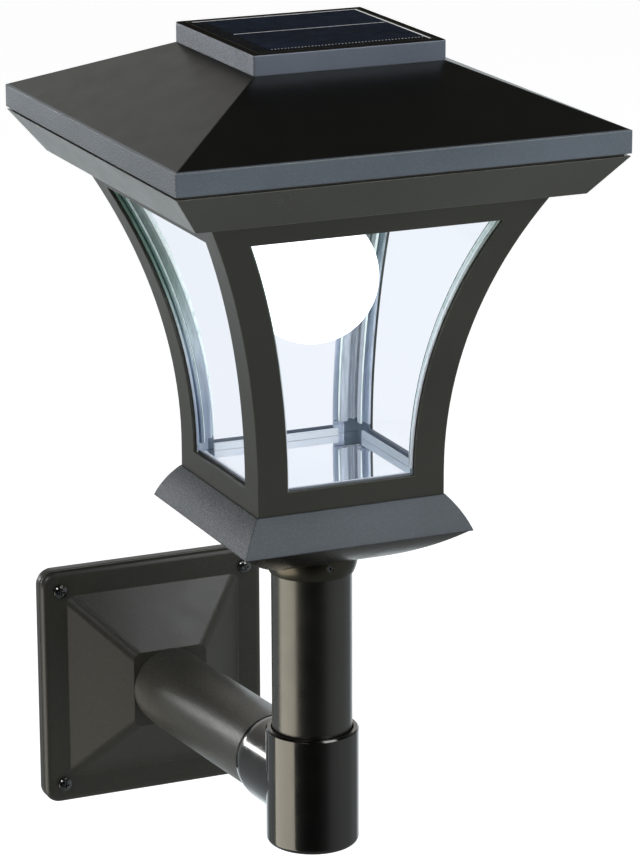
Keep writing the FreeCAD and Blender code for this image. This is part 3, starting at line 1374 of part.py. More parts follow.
GLOBE_RADIUS = S.globe_diameter / 2
MOUTH_RADIUS = S.globe_mouth_diameter / 2
MOUTH_LEVEL = S.globe_centre_level + (GLOBE_RADIUS * GLOBE_RADIUS - MOUTH_RADIUS * MOUTH_RADIUS).root()


def globe():
    """Frosted globe, open at the top where it meets the neck."""
    outer = GLOBE_RADIUS
    inner = GLOBE_RADIUS - S.globe_wall
    centre = S.globe_centre_level
    inner_mouth = (inner * inner - (MOUTH_LEVEL - centre) * (MOUTH_LEVEL - centre)).root()
    body = turned("globe", [
        (ZERO, centre - outer), Arc(outer, centre, ZERO, centre, outer),
        Arc(MOUTH_RADIUS, MOUTH_LEVEL, ZERO, centre, outer), (inner_mouth, MOUTH_LEVEL),
        Arc(inner, centre, ZERO, centre, inner), Arc(ZERO, centre - inner, ZERO, centre, inner)])
    return on_axis(body)


def bulb_neck():
    """Tapered plastic neck between globe and cap."""
    low = MOUTH_LEVEL + S.gap / 3
    high = low + S.neck_height
    lower = MOUTH_RADIUS
    upper = S.cap_diameter / 2
    wall = S.neck_wall
    body = turned("bulb_neck", [
        (lower - wall, low), (lower, low), (lower, low + S.neck_height / 4), (upper, high),
        (upper - wall, high), (lower - wall, low + S.neck_height / 4)])
    return on_axis(body)


def bulb_cap():
    """Metal screw cap with its centre contact, threads left plain."""
    low = MOUTH_LEVEL + S.gap / 3 + S.neck_height
    high = low + S.cap_height
    outer = S.cap_diameter / 2
    tip = S.cap_tip_diameter / 2
    body = turned("bulb_cap", [
        (outer - S.cap_wall, low), (outer, low), (outer, high - S.cap_wall * 3), (tip, high),
        (tip, high + S.cap_tip_height), (ZERO, high + S.cap_tip_height), (ZERO, high - S.cap_wall),
        (tip, high - S.cap_wall), (outer - S.cap_wall, high - S.cap_wall * 4)])
    return on_axis(body)


def led_board():
    """Round board in the neck's foot that shines down into the globe, with its ring of chips."""
    level = MOUTH_LEVEL + S.gap
    board = cylinder("led_disc", S.led_board_diameter, S.led_board_thickness, z=level)
    chips = []
    for number in range(6):
        angle = math.radians(60 * number)
        x = S.led_circle_diameter / 2 * math.cos(angle)
        y = S.led_circle_diameter / 2 * math.sin(angle)
        chips.append(box("led_chip_%d" % number, S.led_width / 2, S.led_width / 2, level - S.led_height,
                         level, x, y))
    return on_axis(fuse("led_board", [board] + chips))


def lamp_holder():
    """Sleeve that takes the bulb's cap, hung through the tray on a flange."""
    body_low = S.soffit_level - S.holder_drop
    cap_top = MOUTH_LEVEL + S.gap / 3 + S.neck_height + S.cap_height + S.cap_tip_height
    top = cap_top + S.gap + S.holder_top_thickness
    bore = S.cap_diameter / 2 + S.gap
    outer = S.holder_diameter / 2
    flange = S.holder_flange_diameter / 2
    seat = TRAY_FLOOR + S.gap / 3
    body = turned("lamp_holder", [
        (bore, body_low), (outer, body_low), (outer, seat), (flange, seat),
        (flange, seat + S.holder_flange_thickness), (outer, seat + S.holder_flange_thickness),
        (outer, top), (ZERO, top), (ZERO, top - S.holder_top_thickness),
        (bore, top - S.holder_top_thickness)])
    return on_axis(body)


# Electronics

def board_spots():
    x = S.board_length / 2 - S.board_screw_inset
    y = S.board_width / 2 - S.board_screw_inset
    return [(x * side, S.board_offset + y * depth) for side in (-1, 1) for depth in (-1, 1)]


BOARD_SEAT = TRAY_FLOOR + S.board_post_height


def control_board():
    """Charge and light control board on four posts, with its larger parts."""
    plate = box("board_plate", S.board_length / 2, S.board_width / 2, BOARD_SEAT,
                BOARD_SEAT + S.board_thickness, ZERO, S.board_offset)
    top = BOARD_SEAT + S.board_thickness
    chip = S.chip_width
    parts = [box("board_chip_a", chip / 2, chip / 2, BOARD_SEAT, top + S.chip_height,
                 -chip, S.board_offset),
             box("board_chip_b", chip, chip / 2, BOARD_SEAT, top + S.chip_height / 2,
                 chip * 1.4, S.board_offset - chip / 2),
             cylinder("board_capacitor", chip * 0.7, chip + S.board_thickness, chip * 1.4,
                      S.board_offset + chip * 0.8, BOARD_SEAT)]
    holes = [cylinder("board_hole_%d" % number, S.board_screw_diameter + S.gap, S.overrun * 2, x, y,
                      BOARD_SEAT - S.overrun) for number, (x, y) in enumerate(board_spots())]
    return on_axis(cut("control_board", fuse("board_blank", [plate] + parts),
                       fuse("board_holes", holes)))


def board_screws():
    screws = []
    for number, (x, y) in enumerate(board_spots()):
        screw = pan_screw("board_screw_%d" % number, S.board_screw_head_diameter, S.board_screw_head_height,
                          S.board_screw_diameter - S.gap / 3, S.board_screw_length)
        place(screw, x, AXIS_Y + y, S.skirt_level + BOARD_SEAT + S.board_thickness)
        screws.append(screw)
    return group("board_screws", screws)


CELL_LEVEL = TRAY_FLOOR + S.cradle_height / 2 + S.cell_diameter / 2
ALONG_Y = Rotation(X_AXIS, -90)


def battery_cell():
    """Round rechargeable cell lying along the hatch, with its positive tip."""
    body = new_body("battery_cell")
    pad(body, None, S.cell_length, circles=[(S.cell_diameter,)], name="can")
    pad(body, None, S.cell_tip_height, S.cell_length, [(S.cell_tip_diameter,)], name="tip")
    return place(body, CELL_OFFSET, AXIS_Y - S.cell_length / 2, S.skirt_level + CELL_LEVEL, ALONG_Y)


def battery_contacts():
    """Two spring plates at the ends of the well."""
    plates = []
    for number, side in enumerate((-1, 1)):
        reach = (WELL_HALF_Y - S.contact_thickness / 2 - S.gap / 3) * side
        plate = box("contact_plate_%d" % number, S.contact_width / 2, S.contact_thickness / 2,
                    CELL_LEVEL - S.contact_height / 2, CELL_LEVEL + S.contact_height / 2,
                    CELL_OFFSET, reach)
        inner = S.cell_length / 2 + (S.cell_tip_height if side > 0 else ZERO) + S.gap / 3
        depth = WELL_HALF_Y - S.contact_thickness - S.gap / 3 - inner
        start = inner if side > 0 else -inner - depth
        spring = cylinder("contact_spring_%d" % number, S.cell_tip_diameter, depth, CELL_OFFSET, start,
                          CELL_LEVEL, ALONG_Y)
        plates.append(fuse("contact_%d" % number, [plate, spring]))
    return on_axis(group("battery_contacts", plates))


def battery_hatch():
    """Lid under the well with two saddles that carry the cell."""
    half_x = WELL_HALF_X - S.hatch_gap
    half_y = WELL_HALF_Y - S.hatch_gap
    low = S.soffit_level
    plug = box("hatch_plug", half_x, half_y, low - S.hatch_lip_thickness, TRAY_FLOOR, CELL_OFFSET)
    lip_y = WELL_HALF_Y + S.hatch_ear
    lip = box("hatch_flange", WELL_HALF_X + S.hatch_lip, lip_y, low - S.hatch_lip_thickness - S.gap / 3,
              low - S.gap / 3, CELL_OFFSET)
    saddles = [box("hatch_saddle_%d" % number, half_x, S.cradle_thickness / 2, TRAY_FLOOR - S.tray_wall / 2,
                   TRAY_FLOOR + S.cradle_height, CELL_OFFSET, S.cell_length / 3 * side)
               for number, side in enumerate((-1, 1))]
    hollow = cylinder("hatch_hollow", S.cell_diameter + S.gap, S.hatch_length, CELL_OFFSET,
                      -WELL_HALF_Y, CELL_LEVEL, ALONG_Y)
    holes = [cylinder("hatch_hole_%d" % number, S.hatch_screw_diameter + S.gap, S.overrun * 2, x, y,
                      low - S.overrun) for number, (x, y) in enumerate(hatch_spots())]
    return on_axis(cut("battery_hatch", fuse("hatch_blank", [plug, lip] + saddles),
                       fuse("hatch_cuts", [hollow] + holes)))


def hatch_screws():
    screws = []
    for number, (x, y) in enumerate(hatch_spots()):
        screw = pan_screw("hatch_screw_%d" % number, S.hatch_screw_head_diameter, S.hatch_screw_head_height,
                          S.hatch_screw_diameter - S.gap, S.hatch_screw_length, S.screw_recess_width)
        place(screw, x, AXIS_Y + y, S.skirt_level + S.soffit_level - S.hatch_lip_thickness - S.gap / 3,
              Rotation(X_AXIS, 180))
        screws.append(screw)
    return group("hatch_screws", screws)


# Switch

def switch_housing():
    """Housing of the push switch, with a round nose through the tray."""
    nose_low = S.soffit_level - S.switch_nose_height
    block = box("switch_block", S.switch_width / 2, S.switch_width / 2, TRAY_FLOOR + S.gap / 3,
                TRAY_FLOOR + S.switch_height, -S.switch_offset)
    nose = cylinder("switch_nose", S.switch_nose_diameter, S.tray_wall + S.switch_nose_height + S.overrun / 5,
                    -S.switch_offset, ZERO, nose_low)
    bore = cylinder("switch_bore", S.switch_bore_diameter, BUTTON_ROOF - nose_low + S.overrun,
                    -S.switch_offset, ZERO, nose_low - S.overrun)
    return on_axis(cut("switch_housing", fuse("switch_blank", [block, nose]), bore))


BUTTON_LOW = S.soffit_level - S.switch_nose_height - S.button_stand_out
BUTTON_ROOF = BUTTON_LOW + S.button_height + S.button_travel + S.gap


def switch_button():
    """Push button with a rounded face that slides up into the housing."""
    half = S.button_diameter / 2
    edge = S.button_edge_radius
    low = BUTTON_LOW
    body = turned("switch_button", [
        (ZERO, low), (half - edge, low), Arc(half, low + edge, half - edge, low + edge, edge),
        (half, low + S.button_height), (ZERO, low + S.button_height)])
    return place(body, -S.switch_offset, AXIS_Y, S.skirt_level)


# Wires inside the head

def wire(name, points):
    """An insulated wire along level and upright runs joined by arcs."""
    corners = [Vector(*(Size.of(value).value for value in point)) for point in points]
    radius = S.wire_bend_radius.value
    edges = []
    start = corners[0]
    for before, corner, after in zip(corners, corners[1:], corners[2:]):
        back = (before - corner).normalize()
        ahead = (after - corner).normalize()
        half_turn = back.getAngle(ahead) / 2
        trim = radius / math.tan(half_turn)
        first = corner + back * trim
        last = corner + ahead * trim
        centre = corner + (back + ahead).normalize() * (radius / math.sin(half_turn))
        middle = centre + (corner - centre).normalize() * radius
        edges.append(Part.LineSegment(start, first).toShape())
        edges.append(Part.Arc(first, middle, last).toShape())
        start = last
    edges.append(Part.LineSegment(start, corners[-1]).toShape())
    path = Part.Wire(edges)
    direction = (corners[1] - corners[0]).normalize()
    ring = Part.Wire([Part.Circle(corners[0], direction, S.wire_diameter.value / 2).toShape()])
    made = doc.addObject("Part::Feature", name)
    made.Shape = path.makePipeShell([ring], True, False)
    return made


def wires():
    """Panel, battery and lamp wires, each from its terminal to the control board."""
    board_top = BOARD_SEAT + S.board_thickness
    step = S.wire_bend_radius * 2.4
    start = ROOF_TOP + S.panel_frame_height - S.panel_recess - S.panel_thickness - S.gap
    panel = wire("panel_wire", [
        (ZERO, WIRE_ENTRY, start), (ZERO, WIRE_ENTRY, board_top + step),
        (ZERO, S.board_offset, board_top + step), (ZERO, S.board_offset, board_top + S.gap / 3)])
    contact_y = WELL_HALF_Y - S.contact_thickness
    wire_end = S.board_offset + S.chip_width * 0.5
    contact_top = CELL_LEVEL + S.contact_height / 2
    battery = wire("battery_wire", [
        (CELL_OFFSET, contact_y, contact_top + S.gap / 3), (CELL_OFFSET, contact_y, contact_top + step),
        (S.board_length / 3, wire_end, contact_top + step),
        (S.board_length / 3, wire_end, board_top + S.gap / 3)])
    holder_top = lamp_top() + S.gap / 3
    lamp = wire("lamp_wire", [
        (ZERO, ZERO, holder_top), (ZERO, ZERO, holder_top + step),
        (-S.board_length / 3, S.board_offset, holder_top + step),
        (-S.board_length / 3, S.board_offset, board_top + S.gap / 3)])
    for made in (panel, battery, lamp):
        on_axis(made)
    return [panel, battery, lamp]


def lamp_top():
    return (MOUTH_LEVEL + S.gap / 3 + S.neck_height + S.cap_height + S.cap_tip_height + S.gap
            + S.holder_top_thickness)


PIECES = [wall_plate(), wall_gasket(), wall_screws(), arm_tube(), arm_plug(), arm_bolts(), tee_fitting(),
          tee_set_screws(), post_tube(), base_cup(), collar_set_screws(), skirt(), base_screws(),
          body_frame(), corner_clips(), pane_seals(), window_sill(), floor_reflector(),
          soffit_tray(), roof_cover(), tray_screws(),
          panel_frame(), panel_seal(), solar_panel(), globe(), bulb_neck(), bulb_cap(), led_board(),
          lamp_holder(), control_board(), board_screws(), battery_cell(), battery_contacts(),
          battery_hatch(), hatch_screws(), switch_housing(), switch_button()]
PIECES += panes() + corner_retainers() + wires()

doc.recompute()
for obj in doc.Objects:
    if "Invalid" in obj.State or "Error" in obj.State:
        raise RuntimeError("%s failed: %s" % (obj.Label, obj.State))

os.makedirs("parts", exist_ok=True)
for piece in PIECES:
    if piece.Shape.isNull() or not piece.Shape.isValid():
        raise RuntimeError(piece.Label + " has no valid shape")
for piece in PIECES:
    piece.Shape.exportStep("parts/%s.step" % piece.Label)
    print("%-22s %2d solids %9.0f mm3" % (piece.Label, len(piece.Shape.Solids), piece.Shape.Volume))
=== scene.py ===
import json
import math

import bpy
from mathutils import Matrix, Vector


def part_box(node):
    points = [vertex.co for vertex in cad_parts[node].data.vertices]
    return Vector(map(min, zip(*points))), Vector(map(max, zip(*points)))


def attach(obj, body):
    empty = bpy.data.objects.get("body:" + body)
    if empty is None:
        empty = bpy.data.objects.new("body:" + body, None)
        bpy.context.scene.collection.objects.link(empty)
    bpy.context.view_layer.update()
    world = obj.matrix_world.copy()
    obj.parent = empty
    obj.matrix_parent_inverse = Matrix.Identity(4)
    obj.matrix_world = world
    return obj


# Solar wall lantern, dressed. Lengths in metres, in the part's own frame:
# the wall is the plane y = 0 and the lantern stands out towards -y.
# Where a length is in millimetres, the text beside it says so.

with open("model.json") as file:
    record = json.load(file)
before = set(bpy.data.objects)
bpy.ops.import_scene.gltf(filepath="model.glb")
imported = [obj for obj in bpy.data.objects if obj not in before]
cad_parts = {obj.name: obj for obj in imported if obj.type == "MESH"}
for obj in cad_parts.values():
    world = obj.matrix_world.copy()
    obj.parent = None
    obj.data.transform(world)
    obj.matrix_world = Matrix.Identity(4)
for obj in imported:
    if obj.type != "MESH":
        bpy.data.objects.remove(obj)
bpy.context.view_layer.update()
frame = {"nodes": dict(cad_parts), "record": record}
NODES = frame["nodes"]


def middle_y(node):
    low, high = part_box(node)
    return (low.y + high.y) / 2


MM = 0.001
AXIS_Y = middle_y("roof_cover")
SKIRT_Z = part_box("skirt")[0].z
PANEL_FRAME_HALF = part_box("panel_frame")[1].x
PANEL_TOP = (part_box("solar_panel")[1].z - SKIRT_Z) / MM

# Levels and places at which a look changes
SEAL_LOW, SEAL_HIGH = SKIRT_Z + 0.02, SKIRT_Z + 0.0325
SILL_TOP = SKIRT_Z + 0.0303
TRIM_LOW, TRIM_HIGH = SKIRT_Z + 0.07, SKIRT_Z + 0.16
GLASS_LOW, GLASS_HIGH = SKIRT_Z + 0.03, SKIRT_Z + 0.165
SLOPE_LOW = SKIRT_Z + 0.2143
LEFT_X = -0.037
LEFT_SEAL_X = -0.046
RIGHT_SILL_X = 0.04
SLEEVE_HALF = 0.0318

# The panel's cells, in metres
CELL_LEFT, CELL_RIGHT = -0.0385, 0.0453
CELL_FRONT, CELL_BACK = AXIS_Y - 0.0400, AXIS_Y + 0.0458
FINGER_PITCH = 0.0018
FINGER_WIDTH = 0.0003

WHITE = (1.0, 1.0, 1.0, 1.0)


# Node helpers

class Nodes:
    """A small builder for the node tree of one material, or of the world."""

    def __init__(self, name, world=False):
        self.owner = (bpy.data.worlds if world else bpy.data.materials).new(name)
        self.owner.use_nodes = True
        self.tree = self.owner.node_tree
        self.tree.nodes.clear()
        self.out = self.tree.nodes.new("ShaderNodeOutputWorld" if world else "ShaderNodeOutputMaterial")

    def add(self, kind, links=None, **settings):
        """Adds a node. Links feed its sockets by name or number, and settings are its own properties."""
        node = self.tree.nodes.new("ShaderNode" + kind)
        for key, value in settings.items():
            setattr(node, key, value)
        for socket, source in (links or {}).items():
            self.feed(node, socket, source)
        return node

    def feed(self, node, socket, source):
        """Links a socket to a source, or sets it to a number or colour."""
        target = node.inputs[socket]
        if isinstance(source, bpy.types.NodeSocket):
            self.tree.links.new(source, target)
        else:
            target.default_value = source

    def place(self):
        return self.add("TexCoord").outputs["Object"]

    def axes(self):
        """The place, split into its three parts."""
        return self.add("SeparateXYZ", {0: self.place()}).outputs

    def facing(self):
        """The direction that the face looks in, split into its three parts."""
        return self.add("SeparateXYZ", {0: self.add("NewGeometry").outputs["Normal"]}).outputs

    def noise(self, scale, detail=2.0, rough=0.5, vector=None, distortion=0.0):
        node = self.add("TexNoise", {"Vector": vector or self.place(), "Scale": scale, "Detail": detail,
                                     "Roughness": rough, "Distortion": distortion})
        return node.outputs["Fac"]

    def streaks(self, scale, detail, rough, stretch):
        """Noise drawn out by a stretch for each axis."""
        vector = self.add("Mapping", {"Vector": self.place(), "Scale": stretch}).outputs[0]
        return self.noise(scale, detail, rough, vector)

    def cells(self, scale, output="Distance"):
        return self.add("TexVoronoi", {"Vector": self.place(), "Scale": scale}).outputs[output]

    def ramp(self, source, stops):
        """A colour ramp from places and colours."""
        node = self.add("ValToRGB", {"Fac": source})
        elements = node.color_ramp.elements
        while len(elements) < len(stops):
            elements.new(0.5)
        for element, (place, tone) in zip(elements, stops):
            element.position = place
            element.color = (*tone, 1)
        return node.outputs["Color"]

    def level(self, source, stops):
        """A grey ramp from places and values."""
        return self.ramp(source, [(place, (value, value, value)) for place, value in stops])

    def rise(self, low, high):
        """From zero to one between two levels."""
        return self.add("MapRange", {"Value": self.axes()["Z"], 1: low, 2: high}).outputs[0]

    def math(self, operation, first, second=0.0, clamp=False):
        return self.add("Math", {0: first, 1: second}, operation=operation, use_clamp=clamp).outputs[0]

    def times(self, first, second):
        return self.math("MULTIPLY", first, second)

    def rest_of(self, share):
        """What a share leaves of one."""
        return self.math("SUBTRACT", 1.0, share)

    def above(self, source, limit):
        return self.math("GREATER_THAN", source, limit)

    def below(self, source, limit):
        return self.math("LESS_THAN", source, limit)

    def between(self, source, low, high):
        return self.times(self.above(source, low), self.below(source, high))

    def stripes(self, source, pitch, width):
        """One where a coordinate falls on evenly spaced lines."""
        turned = self.math("DIVIDE", source, pitch)
        share = self.math("FRACT", self.math("ADD", turned, 1000.0))
        return self.below(self.math("ABSOLUTE", self.math("SUBTRACT", share, 0.5)), width / pitch / 2)

    def mix(self, factor, first, second, blend="MIX"):
        node = self.add("Mix", {"Factor": factor}, data_type="RGBA", blend_type=blend)
        self.feed(node, 6, first)
        self.feed(node, 7, second)
        return node.outputs[2]

    def tinted(self, base, tone):
        return self.mix(1.0, base, tone, "MULTIPLY")

    def bump(self, height, strength, distance, normal=None):
        links = {"Height": height, "Strength": strength, "Distance": distance}
        if normal is not None:
            links["Normal"] = normal
        return self.add("Bump", links).outputs["Normal"]

    def soft_edges(self, radius):
        return self.add("Bevel", {"Radius": radius}, samples=4).outputs["Normal"]

    def edge_mask(self, bevelled):
        """How far the softened normal leaves the face's own, which marks the sharp edges."""
        geometry = self.add("NewGeometry")
        dot = self.add("VectorMath", {0: geometry.outputs["Normal"], 1: bevelled}, operation="DOT_PRODUCT")
        return self.math("SUBTRACT", 1.0, dot.outputs["Value"], clamp=True)

    def surface(self, **sockets):
        """A Principled shader. Its sockets are given by name, with underscores for spaces."""
        links = {key.replace("_", " ").title().replace("Ior", "IOR"): value for key, value in sockets.items()}
        return self.add("BsdfPrincipled", links)

    def blend(self, factor, first, second):
        """A mix of two shaders."""
        return self.add("MixShader", {0: factor, 1: first.outputs[0], 2: second.outputs[0]})

    def finish(self, shader):
        self.tree.links.new(shader.outputs[0], self.out.inputs["Surface"])
        return self.owner


def colour(red, green, blue):
    """A display colour from 0 to 255 as linear light."""
    def linear(value):
        value = value / 255
        return value / 12.92 if value <= 0.04045 else ((value + 0.055) / 1.055) ** 2.4
    return (linear(red), linear(green), linear(blue), 1.0)


def shade(tone, factor):
    """A tone made lighter or darker."""
    return (tone[0] * factor, tone[1] * factor, tone[2] * factor, 1.0)


# Paints

def inside_square(n, half):
    """One nearer to the lantern's axis than a half width, across both ways."""
    axes = n.axes()
    across = n.math("ABSOLUTE", axes["X"])
    along = n.math("ABSOLUTE", n.math("SUBTRACT", axes["Y"], AXIS_Y))
    return n.below(n.math("MAXIMUM", across, along), half)


def paint(name, tone, rough=0.36, grain=0.0, flake=0.0, metallic=0.1, wave=0.03, edge=0.3, high=None,
          dark=None, level=0.5, painted_glints=0.0, left=1.0, rim=(126, 125, 108)):
    """Satin bronze paint: soft tone drift, orange peel, powder grain, metal flakes, and sharp edges in the
    rim tone, a painted highlight where that tone is pale.

    High is a level and the plainer tone above it, which the roof's slopes take: painted shade that makes the
    slopes darker than the fascia below.
    Dark is a half width. Faces that look up or lie inside it get a plain dark tone, which is painted shade.
    Sparkle gives painted glints and dark specks on faces towards the left, where the low light falls, and
    left darkens those faces as painted shade.
    """
    n = Nodes(name)
    base = tone
    plain = None
    # Painted shade: above the level the tone turns to the darker plain tone.
    if high is not None:
        plain = n.above(n.axes()["Z"], high[0])
        base = n.mix(plain, tone, high[1])
        level = n.math("SUBTRACT", level, n.times(plain, 0.15))
    # Painted shade: faces looking up, and faces inside the half width, take a plain dark tone.
    if dark is not None:
        plain = n.math("MAXIMUM", n.above(n.facing()["Z"], 0.5), inside_square(n, dark))
        base = n.mix(plain, tone, colour(30, 29, 27))
        level = n.times(n.rest_of(plain), level)

    def powdery(value):
        """The value, or zero where the paint is plain."""
        return value if plain is None else n.times(n.rest_of(plain), value)

    base = n.tinted(base, n.level(n.noise(9, 3), [(0.3, 0.82), (0.7, 1.15)]))
    normal = n.soft_edges(0.0008)
    painted_edge_mask = n.times(n.level(n.edge_mask(normal), [(0.02, 0.0), (0.12, edge)]),
                   n.level(n.noise(160, 3, 0.7), [(0.35, 0.35), (0.7, 1.0)]))
    if flake:
        spots = n.add("SeparateColor", {0: n.cells(2600, output="Color")}).outputs[0]
        shown = powdery(n.level(spots, [(0.7, 0.0), (0.98, flake)]))
        base = n.mix(shown, base, colour(178, 182, 188))
    # Painted glints and dark specks on faces looking left, and painted shade darkening those faces.
    if painted_glints:
        lit = powdery(n.below(n.facing()["X"], -0.6))
        points = n.noise(1500, 3, 0.75)
        bright = n.level(points, [(0.46, 0.0), (0.6, painted_glints)])
        dull = n.level(points, [(0.4, painted_glints), (0.52, 0.0)])
        base = n.mix(n.times(lit, bright), base, colour(200, 203, 208))
        base = n.mix(n.times(lit, dull), base, colour(40, 42, 44))
        base = n.mix(lit, base, (left, left, left, 1.0), "MULTIPLY")
    # Sharp edges take the rim tone: a painted highlight where the rim is pale; on the skirt the rim is a dark
    # line.
    base = n.mix(painted_edge_mask, base, colour(*rim))
    normal = n.bump(n.noise(420), wave, 0.0004, normal)
    if grain:
        normal = n.bump(n.noise(2300, 3, 0.65), grain, 0.00028, normal)
    roughness = n.level(n.noise(60, 4, 0.6), [(0.3, rough - 0.03), (0.75, rough + 0.03)])
    return n.finish(n.surface(base_color=base, metallic=powdery(metallic), roughness=roughness,
                              normal=normal, specular_ior_level=level))


def polished(name, tone, rough=0.2, edge=0.3, coat=0.2, lacquer=0.8):
    """Smooth glossy bronze lacquer with a soft brown cast and fine pinholes."""
    n = Nodes(name)
    base = n.tinted(tone, n.level(n.noise(14, 3), [(0.3, 0.85), (0.7, 1.15)]))
    normal = n.soft_edges(0.0006)
    painted_edge_mask = n.level(n.edge_mask(normal), [(0.02, 0.0), (0.15, edge)])
    # Sharp edges painted lighter: a painted highlight.
    base = n.mix(painted_edge_mask, base, shade(tone, 3.0))
    specks = n.level(n.cells(900), [(0.0, 0.8), (0.12, 0.0)])
    base = n.mix(n.times(specks, 0.12), base, shade(tone, 2.5))
    normal = n.bump(n.noise(55), 0.05, 0.0006, normal)
    normal = n.bump(n.noise(1500), 0.04, 0.0001, normal)
    roughness = n.level(n.noise(90, 3), [(0.35, rough - 0.03), (0.7, rough + 0.05)])
    return n.finish(n.surface(base_color=base, metallic=1.0, roughness=roughness, normal=normal,
                              coat_weight=lacquer, coat_roughness=coat))


# Metals, plastics and glass

def bare_metal(name, tone, rough=0.3, streak=(1.0, 1.0, 0.04), scale=700):
    """Rolled or turned metal with fine drawn streaks."""
    n = Nodes(name)
    lines = n.streaks(scale, 3, 0.6, streak)
    base = n.tinted(tone, n.level(lines, [(0.3, 0.78), (0.7, 1.12)]))
    base = n.tinted(base, n.level(n.noise(45, 3), [(0.35, 0.88), (0.7, 1.05)]))
    normal = n.bump(lines, 0.12, 0.0002, n.soft_edges(0.0003))
    roughness = n.level(n.noise(120, 3), [(0.3, rough - 0.07), (0.7, rough + 0.08)])
    return n.finish(n.surface(base_color=base, metallic=1.0, roughness=roughness, normal=normal))


def moulded(name, tone, rough=0.45, grain=0.1, scale=1600, speck=0.1, coat=0.0, sill_tone=None,
            left_light_tone=None):
    """Moulded plastic or rubber with a fine texture, flow marks and a little dust.

    A sill tone colours what lies about the windows' lower edges, apart from the left window's.
    A left tone paints the lantern's left side paler, which is painted light.
    """
    n = Nodes(name)
    if sill_tone is not None:
        low = n.between(n.axes()["Z"], SEAL_LOW, SEAL_HIGH)
        low = n.times(low, n.above(n.axes()["X"], LEFT_SEAL_X))
        tone = n.mix(low, tone, sill_tone)
    # Painted light: the lantern's left side takes the paler left tone.
    if left_light_tone is not None:
        tone = n.mix(n.below(n.axes()["X"], LEFT_X), tone, left_light_tone)
    base = n.tinted(tone, n.level(n.noise(25, 4), [(0.3, 0.88), (0.75, 1.1)]))
    dust = n.level(n.noise(700, 4, 0.7), [(0.62, 0.0), (0.78, speck)])
    base = n.mix(dust, base, (0.5, 0.5, 0.48, 1))
    normal = n.bump(n.noise(scale, 3, 0.6), grain, 0.0002, n.soft_edges(0.0004))
    roughness = n.level(n.noise(80, 3), [(0.3, rough - 0.06), (0.7, rough + 0.07)])
    return n.finish(n.surface(base_color=base, roughness=roughness, normal=normal, coat_weight=coat,
                              coat_roughness=0.1))


def trim():
    """Silver corner strips, greener and streaky towards the top, with painted shade on the left, and pale
    sill strips.
    """
    n = Nodes("silver_trim_look")
    height = n.axes()["Z"]
    lines = n.streaks(420, 3, 0.65, (1.0, 1.0, 0.03))
    base = n.mix(n.rise(TRIM_LOW, TRIM_HIGH), colour(228, 233, 240), colour(192, 208, 200))
    base = n.tinted(base, n.level(lines, [(0.3, 0.72), (0.7, 1.15)]))
    specks = n.level(n.cells(700), [(0.0, 0.5), (0.1, 0.0)])
    base = n.mix(specks, base, colour(235, 240, 240))
    # Painted shade: on the left side the strips are darkened, by an amount that changes with height.
    shaded = n.ramp(n.times(n.math("SUBTRACT", height, SKIRT_Z), 5.0),
                    [(0.25, (0.5, 0.56, 0.64)), (0.42, (0.9, 0.95, 0.95)), (0.6, (0.3, 0.42, 0.36))])
    base = n.mix(n.below(n.axes()["X"], LEFT_X), base, shaded, "MULTIPLY")
    low = n.below(height, SILL_TOP)
    sill = n.mix(n.above(n.axes()["X"], RIGHT_SILL_X), colour(248, 251, 254), colour(200, 210, 218))
    base = n.mix(low, base, sill)
    gloss = n.times(n.rest_of(low), 0.12)
    normal = n.bump(lines, 0.15, 0.0002, n.soft_edges(0.0003))
    roughness = n.level(n.noise(120, 3), [(0.3, 0.38), (0.75, 0.5)])
    return n.finish(n.surface(base_color=base, metallic=gloss, roughness=roughness, normal=normal))


def window_glass():
    """Clear bent glass with a faint cool tint, which lets lamp light through to what is inside."""
    n = Nodes("window_glass_look")
    cloud = n.times(n.noise(16), 0.45)
    tint = n.ramp(n.math("ADD", n.times(n.rise(GLASS_LOW, GLASS_HIGH), 0.6), cloud), [
        (0.12, (0.925, 0.945, 0.98)), (0.4, (0.935, 0.957, 0.994)), (0.75, (0.93, 0.955, 0.992))])
    normal = n.bump(n.noise(28), 0.03, 0.0008)
    roughness = n.level(n.noise(300, 3), [(0.4, 0.0), (0.8, 0.015)])
    glass = n.surface(base_color=tint, roughness=roughness, normal=normal, transmission_weight=1.0, ior=1.08)
    clear = n.add("BsdfTransparent", {"Color": tint})
    path = n.add("LightPath")
    passing = n.math("MAXIMUM", path.outputs["Is Shadow Ray"], path.outputs["Is Diffuse Ray"])
    return n.finish(n.blend(passing, glass, clear))


def mirror():
    """Polished metal floor with a few smudges."""
    n = Nodes("mirror_floor_look")
    base = n.ramp(n.noise(18, 3), [(0.3, (0.95, 0.965, 0.99)), (0.7, (0.985, 0.99, 1.0))])
    smudge = n.level(n.noise(60, 5, 0.7, distortion=1.5), [(0.5, 0.02), (0.8, 0.12)])
    normal = n.bump(n.noise(30), 0.03, 0.0004)
    return n.finish(n.surface(base_color=base, metallic=1.0, roughness=smudge, normal=normal))


def globe_white():
    """Frosted globe that glows white."""
    n = Nodes("globe_white_look")
    base = n.ramp(n.noise(60), [(0.3, (0.92, 0.92, 0.92)), (0.7, (0.97, 0.97, 0.96))])
    glow = n.ramp(n.axes()["Z"], [(0.0, (0.95, 0.98, 1.0)), (1.0, (1.0, 1.0, 1.0))])
    normal = n.bump(n.noise(1800), 0.08, 0.0001)
    rough = n.level(n.noise(400), [(0.3, 0.45), (0.7, 0.6)])
    return n.finish(n.surface(base_color=base, roughness=rough, normal=normal,
                              emission_color=glow, emission_strength=1.9))


